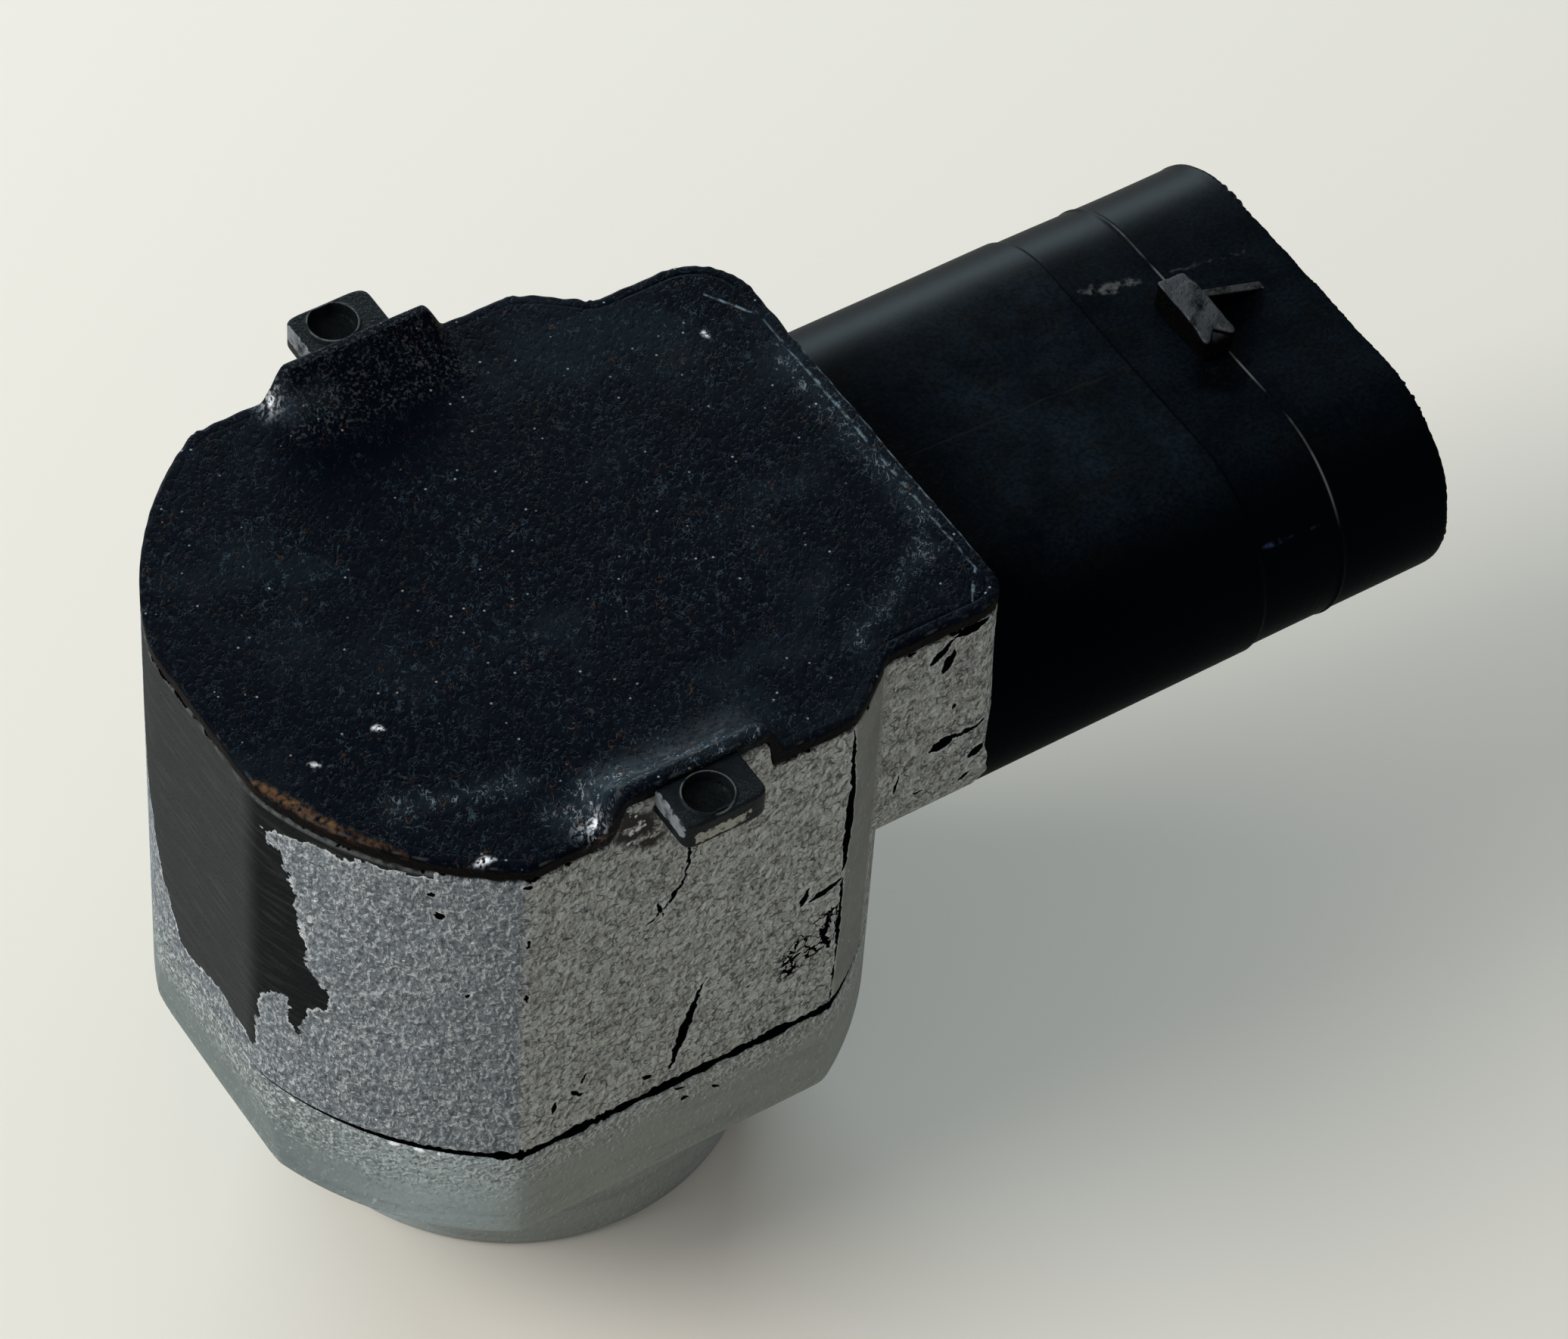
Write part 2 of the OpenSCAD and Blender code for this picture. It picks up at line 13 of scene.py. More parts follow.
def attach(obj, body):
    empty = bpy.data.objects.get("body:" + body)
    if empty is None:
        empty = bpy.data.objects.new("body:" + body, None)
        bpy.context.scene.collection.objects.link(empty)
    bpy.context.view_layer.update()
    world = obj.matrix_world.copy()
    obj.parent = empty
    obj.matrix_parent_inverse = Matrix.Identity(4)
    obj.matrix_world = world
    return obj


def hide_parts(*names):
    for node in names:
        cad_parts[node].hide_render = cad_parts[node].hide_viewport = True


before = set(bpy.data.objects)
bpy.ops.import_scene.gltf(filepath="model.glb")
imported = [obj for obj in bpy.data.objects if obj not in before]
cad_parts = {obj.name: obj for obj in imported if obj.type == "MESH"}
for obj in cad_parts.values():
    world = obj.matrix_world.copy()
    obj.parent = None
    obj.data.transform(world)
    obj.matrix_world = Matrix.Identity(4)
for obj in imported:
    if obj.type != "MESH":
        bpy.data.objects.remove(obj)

LOG = logging.getLogger("parking_sensor")
MM = 0.001
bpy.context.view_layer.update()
Array = np.ndarray
Socket = bpy.types.NodeSocket
Feed = Union[float, Sequence[float], "Term"]
Key = Union[str, int]
Colour = tuple[float, float, float]
Point = tuple[float, float, float]


class Ends(Enum):
    """How a grid's first and last rows are closed."""

    LOOP = "the last row joins the first"
    POLES = "each end row closes on its own centre"


def step(value: Array, low: float, high: float) -> Array:
    """Smooth rise from 0 at low to 1 at high, as three t squared less two t cubed.

    Args:
        value: numbers to grade.
        low: value at which the rise begins.
        high: value at which it ends.

    Returns:
        Grades between 0 and 1, shaped like value.
    """
    t = np.clip((np.asarray(value, float) - low) / (high - low), 0.0, 1.0)
    return t * t * (3.0 - 2.0 * t)


def bell(value: Array, middle: float, width: float) -> Array:
    """Bell curve: e to the power of less the squared distance from the middle, in widths."""
    return np.exp(-(((value - middle) / width) ** 2))


def quarter(radius: Union[float, Array], turns: Iterable[float]) -> list[tuple[Array, Array]]:
    """Rounded edge: a radius times one less the sine, and times one less the cosine, of each turn."""
    return [(radius * (1.0 - math.sin(t)), radius * (1.0 - math.cos(t))) for t in turns]


def ripple(turn: Array, seed: int, low: int, high: int, count: int = 24) -> Array:
    """Closed random curve of unit spread: a sum of sines with whole wave numbers and seeded phases.

    Args:
        turn: place along the loop, from 0 to 1.
        seed: seed of the phases.
        low: smallest wave number.
        high: largest wave number.
        count: how many sines are summed.

    Returns:
        One height for each place.
    """
    rng = np.random.default_rng(seed)
    waves = rng.integers(low, high + 1, count)
    phases = rng.uniform(0.0, 2.0 * np.pi, count)
    sines = np.sin(2.0 * np.pi * np.asarray(turn)[..., None] * waves + phases)
    return sines.sum(-1) / math.sqrt(count / 2.0)


def lumps(points: Array, seed: int, size: float, count: int = 18) -> Array:
    """Soft random field of unit spread in space: a sum of sine waves that run in seeded directions.

    Args:
        points: places in millimetres, the last axis being x, y, z.
        seed: seed of the directions and phases.
        size: mean length of a wave in millimetres.
        count: how many waves are summed.

    Returns:
        One height for each point.
    """
    rng = np.random.default_rng(seed)
    heading = rng.normal(size=(count, 3))
    heading /= np.linalg.norm(heading, axis=1)[:, None]
    heading *= 2.0 * np.pi / (size * rng.uniform(0.7, 1.4, count))[:, None]
    phases = rng.uniform(0.0, 2.0 * np.pi, count)
    return np.sin(points @ heading.T + phases).sum(-1) / math.sqrt(count / 2.0)


def polygon_distance(u: Array, v: Array, corners: Sequence[tuple[float, float]]) -> Array:
    """Signed distance to a closed polygon: least distance to its sides, negative inside by crossing count.

    Args:
        u: first coordinates of the places.
        v: second coordinates of the places.
        corners: corners of the polygon in order.

    Returns:
        Distance for each place, in the same unit.
    """
    best = np.full(np.shape(u), np.inf)
    inside = np.zeros(np.shape(u), bool)
    for (ua, va), (ub, vb) in zip(corners, [*corners[1:], corners[0]]):
        du, dv = ub - ua, vb - va
        t = np.clip(((u - ua) * du + (v - va) * dv) / (du * du + dv * dv), 0.0, 1.0)
        best = np.minimum(best, np.hypot(u - ua - t * du, v - va - t * dv))
        rise = dv if abs(dv) > 1e-9 else 1e-9
        inside ^= ((va > v) != (vb > v)) & (u < ua + (v - va) * du / rise)
    return np.where(inside, -best, best)


def placed(name: str, data: bpy.types.ID) -> bpy.types.Object:
    """Adds an object with some data to the scene."""
    made = bpy.data.objects.new(name, data)
    bpy.context.scene.collection.objects.link(made)
    return made


def grid_object(
    name: str, rows: Array, ends: Ends, marks: Optional[dict[str, Array]] = None
) -> bpy.types.Object:
    """Closed smooth mesh from rows of points that each run once round.

    Vertex (i, j) is point j of row i, faces join neighbours in both directions, and columns wrap round. A
    negative enclosed volume means that the faces point inwards, and they are then turned over.

    Args:
        name: name of the object.
        rows: points in millimetres, shaped rows by columns by 3.
        ends: how the first and last rows are closed.
        marks: values kept on the vertices, shaped rows by columns.

    Returns:
        The object, at the origin, riding on the root body.
    """
    count, around, _ = rows.shape
    index = np.arange(count * around).reshape(count, around)
    right = np.roll(index, -1, axis=1)
    points = rows.reshape(-1, 3)
    tris = np.empty((0, 3), int)
    if ends is Ends.LOOP:
        quads = np.stack([index, right, np.roll(right, -1, 0), np.roll(index, -1, 0)], -1).reshape(-1, 4)
    else:
        quads = np.stack([index[:-1], right[:-1], right[1:], index[1:]], -1).reshape(-1, 4)
        first = np.full(around, len(points))
        lower = np.stack([first, right[0], index[0]], -1)
        upper = np.stack([first + 1, index[-1], right[-1]], -1)
        points = np.vstack([points, rows[0].mean(0), rows[-1].mean(0)])
        tris = np.vstack([lower, upper])
    halves = np.vstack([quads[:, [0, 1, 2]], quads[:, [0, 2, 3]], tris])
    a, b, c = points[halves[:, 0]], points[halves[:, 1]], points[halves[:, 2]]
    if np.einsum("ij,ij->i", a, np.cross(b, c)).sum() < 0.0:
        quads, tris = quads[:, ::-1], tris[:, ::-1]
    mesh = bpy.data.meshes.new(name)
    mesh.vertices.add(len(points))
    mesh.vertices.foreach_set("co", (points * MM).ravel())
    corners = np.concatenate([quads.ravel(), tris.ravel()])
    starts = np.concatenate([np.arange(len(quads)) * 4, quads.size + np.arange(len(tris)) * 3])
    mesh.loops.add(len(corners))
    mesh.loops.foreach_set("vertex_index", corners)
    mesh.polygons.add(len(starts))
    mesh.polygons.foreach_set("loop_start", starts)
    mesh.polygons.foreach_set("use_smooth", np.ones(len(starts), bool))
    mesh.update(calc_edges=True)
    for key, value in (marks or {}).items():
        kept = np.broadcast_to(value, (count, around))
        ends_kept = [kept[0].mean(), kept[-1].mean()] if ends is Ends.POLES else []
        layer = mesh.attributes.new(key, "FLOAT", "POINT")
        layer.data.foreach_set("value", np.concatenate([kept.ravel(), ends_kept]).astype(np.float32))
    made = placed(name, mesh)
    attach(made, "root")
    LOG.info("%s: %d faces", name, len(starts))
    return made


@dataclass(frozen=True)
class Term:
    """Output of a shader node; each sign between terms and numbers adds a Math node."""

    sk: "Sketch"
    socket: Socket

    def __add__(self, other: Feed) -> "Term":
        """Gives the sum."""
        return self.sk.math("ADD", self, other)

    def __sub__(self, other: Feed) -> "Term":
        """Gives this less another."""
        return self.sk.math("SUBTRACT", self, other)

    def __rsub__(self, other: Feed) -> "Term":
        """Gives another less this."""
        return self.sk.math("SUBTRACT", other, self)

    def __mul__(self, other: Feed) -> "Term":
        """Gives the product."""
        return self.sk.math("MULTIPLY", self, other)

    def __pow__(self, other: Feed) -> "Term":
        """Gives a power."""
        return self.sk.math("POWER", self, other)

    def __neg__(self) -> "Term":
        """Gives this with the other sign."""
        return self.sk.math("MULTIPLY", self, -1.0)

    def __abs__(self) -> "Term":
        """Gives this without its sign."""
        return self.sk.math("ABSOLUTE", self)


class Sketch:
    """Adds nodes to one shader tree and links them."""

    def __init__(self, tree: bpy.types.NodeTree) -> None:
        """Keeps the tree that is drawn in."""
        self.tree = tree

    def feed(self, socket: Socket, value: Feed) -> None:
        """Links a socket to a term, or sets its own value."""
        if isinstance(value, Term):
            self.tree.links.new(value.socket, socket)
        else:
            socket.default_value = (*value, 1.0) if socket.type == "RGBA" else value

    def node(self, kind: str, inputs: dict[Key, Feed], **settings: object) -> dict[Key, Term]:
        """Adds one node.

        Args:
            kind: type of the shader node.
            inputs: values or terms by input name or number.
            **settings: properties of the node.

        Returns:
            Its outputs by number and by name.
        """
        made = self.tree.nodes.new("ShaderNode" + kind)
        for key, value in settings.items():
            setattr(made, key, value)
        for key, value in inputs.items():
            self.feed(made.inputs[key], value)
        return {key: Term(self, out) for i, out in enumerate(made.outputs) for key in (i, out.name)}

    def math(self, work: str, a: Feed, b: Feed = 0.0, clamp: bool = False) -> Term:
        """Gives the result of a Math node."""
        return self.node("Math", {0: a, 1: b}, operation=work, use_clamp=clamp)[0]

    def least(self, first: Feed, *others: Feed) -> Term:
        """Gives the least of some numbers."""
        for other in others:
            first = self.math("MINIMUM", first, other)
        return first

    def vector(self, work: str, a: Feed, b: Feed = (0.0, 0.0, 0.0), out: Key = "Vector") -> Term:
        """Gives the result of a Vector Math node."""
        return self.node("VectorMath", {0: a, 1: b}, operation=work)[out]

    def scaled(self, a: Feed, factor: Feed) -> Term:
        """Gives a vector times a number."""
        return self.node("VectorMath", {0: a, "Scale": factor}, operation="SCALE")[0]

    def shifted(self, place: Feed, by: Feed) -> Term:
        """Gives a place that is moved by a vector."""
        return self.vector("ADD", place, by)

    def stretched(self, place: Feed, scale: Point) -> Term:
        """Gives a place whose parts are each multiplied by a number."""
        return self.node("Mapping", {"Vector": place, "Scale": scale})[0]

    def rise(self, value: Feed, low: Feed, high: Feed, end: Feed = 1.0, start: Feed = 0.0) -> Term:
        """Gives a smooth change from start where value is low to end where it is high."""
        inputs = {"Value": value, "From Min": low, "From Max": high, "To Min": start, "To Max": end}
        return self.node("MapRange", inputs, interpolation_type="SMOOTHSTEP")[0]

    def fall(self, value: Feed, low: Feed, high: Feed, start: Feed = 1.0) -> Term:
        """Gives a smooth fall from start where value is low to nothing where it is high."""
        return self.rise(value, low, high, 0.0, start)

    def mix(self, share: Feed, a: Feed, b: Feed) -> Term:
        """Gives a blend of two colours."""
        return self.node("Mix", {0: share, 6: a, 7: b}, data_type="RGBA")[2]

    def lerp(self, share: Feed, a: Feed, b: Feed) -> Term:
        """Gives a blend of two numbers."""
        return self.node("Mix", {0: share, 2: a, 3: b}, data_type="FLOAT")[0]

    def noise(self, place: Feed, scale: Feed, detail: float = 2.0, twist: float = 0.0, out: Key = 0) -> Term:
        """Gives cloud noise around one half at a place, as a number or under Color as a vector."""
        inputs = {"Vector": place, "Scale": scale, "Detail": detail, "Distortion": twist}
        return self.node("TexNoise", inputs)[out]

    def patches(
        self, place: Feed, scale: Feed, detail: float, low: float, high: float, end: float = 1.0
    ) -> Term:
        """Gives patches that rise from 0 to end as cloud noise goes from low to high."""
        return self.rise(self.noise(place, scale, detail), low, high, end)

    def cells(self, place: Feed, scale: Feed, feature: str = "F1") -> dict[Key, Term]:
        """Gives a cell pattern's outputs."""
        return self.node("TexVoronoi", {"Vector": place, "Scale": scale}, feature=feature)

    def seams(self, place: Feed, scale: Feed) -> Term:
        """Gives the distance to the border between two cells."""
        return self.cells(place, scale, "DISTANCE_TO_EDGE")["Distance"]

    def place(self) -> Term:
        """Gives Object coordinates in millimetres."""
        return self.scaled(self.node("TexCoord", {})["Object"], 1.0 / MM)

    def parts(self, vector: Feed) -> tuple[Term, Term, Term]:
        """Gives the three parts of a vector."""
        made = self.node("SeparateXYZ", {0: vector})
        return made[0], made[1], made[2]

    def upward(self) -> Term:
        """Gives the share by which a face looks up."""
        return self.parts(self.node("NewGeometry", {})["Normal"])[2]

    def kept(self) -> Term:
        """Gives the value that the mesh keeps on its vertices."""
        return self.node("Attribute", {}, attribute_name="kept")["Fac"]

    def relief(self, height: Feed, depth: float) -> Term:
        """Gives the normal bent by a height, where a height of 1 is depth in millimetres."""
        return self.node("Bump", {"Height": height, "Strength": 1.0, "Distance": depth * MM})["Normal"]

    def group(self, tree: bpy.types.NodeTree, place: Feed, **inputs: Feed) -> dict[Key, Term]:
        """Places a node group with its own values and gives its outputs."""
        return self.node("Group", {"Place": place, **inputs}, node_tree=tree)


@dataclass(frozen=True)
class Scar:
    """Straight mark between two places in millimetres, with its half width."""

    start: Point
    end: Point
    width: float


class Effects:
    """Shared surface effects, each a node group that is built once."""

    far_mm = 9.0

    def __init__(self) -> None:
        """Builds the groups."""
        self.fleck = self._fleck()
        self.ragged = self._ragged()
        self.scar = self._scar()
        self.dust = self._dust()
        self.spark = self._spark()

    @staticmethod
    def _open(name: str, vectors: str, numbers: str, outputs: str) -> tuple[Sketch, list[Term]]:
        """Starts a group.

        Args:
            name: name of the group.
            vectors: names of its vector inputs, with spaces between them.
            numbers: names of its number inputs.
            outputs: names of its number outputs.

        Returns:
            The sketch, and the inputs in order.
        """
        tree = bpy.data.node_groups.new(name, "ShaderNodeTree")
        wanted = (vectors, "INPUT", "Vector"), (numbers, "INPUT", "Float"), (outputs, "OUTPUT", "Float")
        for names, way, kind in wanted:
            for key in names.split():
                tree.interface.new_socket(key, in_out=way, socket_type="NodeSocket" + kind)
        sk = Sketch(tree)
        given = tree.nodes.new("NodeGroupInput").outputs
        return sk, [Term(sk, given[key]) for key in (vectors + " " + numbers).split()]

    @staticmethod
    def _close(sk: Sketch, **results: Term) -> bpy.types.NodeTree:
        """Feeds a group's outputs and gives the group."""
        out = sk.tree.nodes.new("NodeGroupOutput")
        for key, value in results.items():
            sk.feed(out.inputs[key], value)
        return sk.tree

    def _fleck(self) -> bpy.types.NodeTree:
        """Worm-like flecks where twisted noise crosses one half, pits where finer noise is low and a height.

        Shade is the twisted noise less the same noise a little further on, so it is high on one flank of
        each of the wrinkles and low on the other; materials use it to paint light and shade on the wrinkles.

        Returns:
            The group.
        """
        outputs = "Flecks Pits Height Shade"
        sk, (place, scale, width) = self._open("worm_flecks", "Place", "Scale Width", outputs)
        worm = sk.noise(place, scale, 2.5, 0.8)
        beyond = sk.noise(sk.shifted(place, (0.08, -0.02, -0.05)), scale, 2.5, 0.8)
        breaks = sk.patches(place, scale * 0.9, 1.0, 0.42, 0.6)
        flecks = sk.fall(abs(worm - 0.5), 0.0, width) * breaks
        fine = sk.noise(sk.shifted(place, (7.3, 1.9, 4.1)), scale * 1.4, 3.0)
        pits = sk.fall(fine, 0.32, 0.46)
        height = flecks + fine - pits
        return self._close(sk, Flecks=flecks, Pits=pits, Height=height, Shade=(worm - beyond) * 5.0)

    def _ragged(self) -> bpy.types.NodeTree:
        """Mask that is on where a distance plus coarse and fine noise is above nothing, and a rim inside it.

        Returns:
            The group.
        """
        inputs = "Distance Coarse Fine"
        sk, (place, distance, coarse, fine) = self._open("ragged_edge", "Place", inputs, "Mask Rim")
        moved = (sk.noise(place, 0.9, 2.0, 0.4) - 0.5) * coarse + distance
        moved = (sk.noise(place, 4.2, 3.0) - 0.5) * fine + moved
        mask = sk.rise(moved, -0.02, 0.02)
        return self._close(sk, Mask=mask, Rim=mask * sk.fall(moved, 0.03, 0.2))

    def _scar(self) -> bpy.types.NodeTree:
        """Distance to a straight scar that narrows to its ends, less its half width, kept if least so far.

        Returns:
            The group.
        """
        vectors = "Place Start Along"
        sk, (place, start, along, width, before) = self._open("scar_line", vectors, "Width Before", "Depth")
        away = sk.vector("SUBTRACT", place, start)
        reach = sk.vector("DOT_PRODUCT", away, along, out="Value")
        whole = sk.vector("DOT_PRODUCT", along, along, out="Value")
        t = sk.math("DIVIDE", reach, whole, clamp=True)
        gap = sk.vector("LENGTH", sk.vector("SUBTRACT", away, sk.scaled(along, t)), out="Value")
        narrow = t * (1.0 - t) * 2.8 + 0.3
        return self._close(sk, Depth=sk.least(gap - width * narrow, before))

    def _dust(self) -> bpy.types.NodeTree:
        """Patchy dust: cloud noise above a level, on faces that look up by more than a share.

        Returns:
            The group.
        """
        inputs = "Scale Level Facing"
        sk, (place, scale, level, facing) = self._open("settled_dust", "Place", inputs, "Mask")
        patch = sk.rise(sk.noise(place, scale, 5.0, 0.3), level, level + 0.22)
        return self._close(sk, Mask=patch * sk.rise(sk.upward(), facing, facing + 0.3))

    def _spark(self) -> bpy.types.NodeTree:
        """Lone round sparks: the middles of those cells whose red, or green by Pick, lies above a level.

        Returns:
            The group.
        """
        inputs = "Scale Pick Low High Far"
        sk, (place, scale, pick, low, high, far) = self._open("lone_sparks", "Place", inputs, "Mask")
        cells = sk.cells(place, scale)
        red, green, _ = sk.parts(cells["Color"])
        chosen = sk.rise(sk.lerp(pick, red, green), low, high)
        return self._close(sk, Mask=chosen * sk.fall(cells["Distance"], 0.08, far))

    def marks(self, sk: Sketch, place: Term, marks: Sequence[Scar], shake: float) -> Feed:
        """Distance to the nearest of some straight marks, less its half width, on a place that noise shakes.

        Args:
            sk: sketch that is drawn in.
            place: Object coordinates in millimetres.
            marks: the marks.
            shake: how far noise moves the place, in millimetres.

        Returns:
            Distance in millimetres, negative on a mark.
        """
        cloud = sk.vector("SUBTRACT", sk.noise(place, 2.0, 3.0, out="Color"), (0.5, 0.5, 0.5))
        shaken = sk.shifted(place, sk.scaled(cloud, shake))
        depth: Feed = self.far_mm
        for mark in marks:
            along = tuple(b - a for a, b in zip(mark.start, mark.end))
            line = dict(Start=mark.start, Along=along, Width=mark.width, Before=depth)
            depth = sk.group(self.scar, shaken, **line)["Depth"]
        return depth

    def near(
        self, sk: Sketch, place: Term, marks: Sequence[Scar], shake: float, low: float, high: float
    ) -> Term:
        """Share that falls from 1 to nothing between two distances from some shaken marks."""
        return sk.fall(self.marks(sk, place, marks, shake), low, high)


@dataclass(frozen=True)
class Finish:
    """Base of a finish: a name and the shader's own constants."""

    name: str
    specular: float = 0.4
    metallic: float = 0.0
    coat_rough: float = 0.03

    def build(self, fx: Effects) -> bpy.types.Material:
        """Makes the material.

        Args:
            fx: shared effects.

        Returns:
            The material.
        """
        made = bpy.data.materials.new(self.name)
        made.use_nodes = True
        shader = made.node_tree.nodes["Principled BSDF"]
        shader.inputs["Specular IOR Level"].default_value = self.specular
        shader.inputs["Metallic"].default_value = self.metallic
        shader.inputs["Coat Roughness"].default_value = self.coat_rough
        sk = Sketch(made.node_tree)
        for key, value in self.surface(sk, fx).items():
            sk.feed(shader.inputs[key], value)
        return made

    def surface(self, sk: Sketch, fx: Effects) -> dict[str, Term]:
        """Gives what changes over the surface, by the name of the shader's socket."""
        raise NotImplementedError


@dataclass(frozen=True)
class FlakedPaint(Finish):
    """Old grey paint over black plastic, with flecks, a peeled label and scars."""

    coat_rough: float = 0.5
    # The arc is darker than the flat as painted shade that offsets the stronger lamp light on the label
    # side, and it is also bluer.
    arc: Colour = (0.128, 0.152, 0.172)
    flat: Colour = (0.304, 0.316, 0.280)
    strip: Colour = (0.150, 0.156, 0.138)
    block: Colour = (0.290, 0.298, 0.266)
    pale: Colour = (0.54, 0.57, 0.58)
    gleam: Colour = (0.80, 0.84, 0.86)
    dark: Colour = (0.030, 0.032, 0.038)
    bare: Colour = (0.034, 0.037, 0.037)
    bare_near: Colour = (0.0105, 0.0115, 0.0120)
    black: Colour = (0.0016, 0.0012, 0.0013)
    soil: Colour = (0.009, 0.0068, 0.0058)
    sheen: float = 0.3
    # Strength of the painted light and shade on the wrinkles.
    wrinkle_light_and_shade: float = 0.6
    depth: float = 0.085
    scars: tuple[Scar, ...] = ()
    soiled: tuple[Scar, ...] = ()

    def surface(self, sk: Sketch, fx: Effects) -> dict[str, Term]:
        """Paint by region, the arc darker as painted shade, with wrinkles in painted light and shade, flakes
        and sparks; bare plastic where peeled, with a painted highlight along its top; black where torn.

        Args:
            sk: sketch that is drawn in.
            fx: shared effects.

        Returns:
            What changes over the surface, by socket.
        """
        place = sk.place()
        x, y, z = sk.parts(place)
        on_arc = sk.fall(x, -7.15, -6.75)
        on_strip = sk.rise(x, 6.8, 7.1)
        on_block = sk.rise(x, 9.2, 9.7)
        coarse = on_strip * (1.0 - on_block) * -0.85 + 1.0
        base = sk.mix(on_strip, sk.mix(on_arc, self.flat, self.arc), self.strip)
        base = sk.mix(on_block, base, self.block)
        cloud = sk.patches(place, 0.35, 3.0, 0.35, 0.7, 0.3)
        base = sk.mix(cloud, base, sk.mix(0.5, base, self.dark))
        worm = sk.group(fx.fleck, sk.stretched(place, (1.0, 1.0, 0.66)), Scale=4.0, Width=0.08)
        paint = sk.mix(worm["Pits"] * (coarse * 0.3), base, self.dark)
        paint = sk.mix(worm["Flecks"] * ((on_arc * 0.14 + 0.48) * coarse), paint, self.pale)
        # Painted light and shade: one flank of each of the wrinkles is lightened and the other darkened, as
        # if lit from one side.
        shade = worm["Shade"] * coarse
        paint = sk.mix(sk.rise(shade, 0.05, 1.1, self.wrinkle_light_and_shade), paint, self.pale)
        paint = sk.mix(sk.rise(-shade, 0.05, 1.1, self.wrinkle_light_and_shade), paint, self.dark)
        cracks, tone, torn = self._crackle(sk, place, on_block, on_arc)
        cracks = cracks * coarse
        flaky = coarse * (on_arc * -0.75 + 1.0)
        paint = sk.mix(sk.rise(tone, 0.5, 1.0, 0.24) * flaky, paint, self.pale)
        paint = sk.mix(sk.fall(tone, 0.0, 0.5, 0.2) * flaky, paint, self.dark)
        paint = sk.mix(cracks, paint, self.dark)
        lone = sk.group(fx.spark, place, Scale=2.4, Pick=1.0, Low=0.88, High=0.95, Far=0.2)["Mask"]
        paint = sk.mix(lone * (on_arc * 0.5 + 0.3), paint, self.gleam)
        if self.soiled:
            near = fx.near(sk, place, self.soiled, 0.8, -0.1, 0.5)
            paint = sk.mix(near * sk.rise(sk.noise(place, 2.3, 4.0, 0.6), 0.35, 0.47), paint, self.soil)
            # A few pale dots in the soil are painted glints.
            soil_glints = sk.rise(sk.noise(sk.shifted(place, (3.1, 0.0, 1.7)), 2.2, 2.0), 0.62, 0.7)
            paint = sk.mix(near * soil_glints, paint, self.pale)
        frayed = sk.rise(sk.noise(place, 1.6, 4.0) * 1.1 + z, 29.06, 29.13) * sk.rise(abs(x), 3.6, 4.1)
        depth = fx.marks(sk, place, self.scars, 0.5)
        whole = sk.rise(depth, -0.02, 0.02) * (1.0 - frayed) * (1.0 - torn)
        paint = sk.mix(sk.fall(depth, 0.02, 0.14) * whole * 0.3, paint, self.pale)
        edge = sk.group(fx.ragged, place, Distance=sk.kept(), Coarse=0.9, Fine=0.5)
        curl = edge["Rim"] * sk.patches(place, 1.1, 3.0, 0.4, 0.62)
        paint = sk.mix(curl * 0.8, paint, self.pale)
        bare = sk.mix(sk.rise(-y, 2.6, 4.0), self.bare, self.bare_near)
        rub = sk.rise(sk.noise(sk.stretched(place, (0.6, 0.6, 5.0)), 0.9, 4.0), 0.45, 0.8, 0.2)
        bare = sk.mix(rub, bare, sk.mix(0.12, bare, self.pale))
        # Painted highlight: a pale ragged line along the top edge of the bare wall, just under the cover.
        rim = sk.rise(z, 28.25, 28.4) * sk.patches(place, 1.5, 4.0, 0.4, 0.6, 0.1)
        colour = sk.mix(edge["Mask"], sk.mix(rim, bare, self.pale), paint)
        cover = edge["Mask"] * whole
        grain = worm["Height"] * 0.42 * (coarse * edge["Mask"])
        return {
            "Base Color": sk.mix(whole, self.black, colour),
            "Roughness": sk.lerp(edge["Mask"], 0.5, worm["Flecks"] * -0.15 + 0.62),
            "Coat Weight": cover * self.sheen,
            "Normal": sk.relief(cracks * -0.5 + (cover + grain), self.depth),
        }

    @staticmethod
    def _crackle(sk: Sketch, place: Term, on_block: Term, on_arc: Term) -> tuple[Term, Term, Term]:
        """Dark net of cracks between bent cells, coarse everywhere and fine in patches, most on the block.

        Args:
            sk: sketch that is drawn in.
            place: Object coordinates in millimetres.
            on_block: mask of the connector block.
            on_arc: mask of the label side.

        Returns:
            Share of crack at each place, a tone from 0 to 1 for the cell that it lies in, and the share
            that is torn open in a slanting band beside the crease.
        """
        bent = sk.shifted(place, sk.scaled(sk.noise(place, 3.0, 2.0, out="Color"), 0.45))
        tone = sk.parts(sk.cells(bent, 2.3)["Color"])[0]
        flakes = sk.seams(bent, 2.3)
        curls = sk.fall(flakes, 0.02, 0.13) * sk.patches(place, 3.0, 2.0, 0.44, 0.6, 0.8)
        patch = sk.patches(place, 0.8, 2.0, 0.4, 0.62)
        amount = (on_block * 0.14 + 0.22) * (patch * 0.5 + 0.5)
        net = sk.math("MAXIMUM", sk.fall(sk.seams(bent, 4.2), 0.0, 0.15) * amount, curls)
        lines = sk.fall(sk.seams(bent, 1.2), 0.0, 0.045) * (patch * 0.35 + 0.05)
        both = sk.math("ADD", lines, net, clamp=True)
        x, _, z = sk.parts(place)
        band = sk.fall(abs(x * -0.62 + z - 13.2), 0.5, 1.5)
        beside = sk.rise(x, 3.2, 5.8) * sk.fall(x, 6.9, 7.1) * band
        gap = sk.noise(place, 1.7, 3.0) * -0.5 + (flakes + 0.27)
        torn = sk.fall(gap, 0.06, 0.1) * sk.rise(beside, 0.25, 0.5)
        return both * (on_arc * -0.45 + 1.0), tone, torn


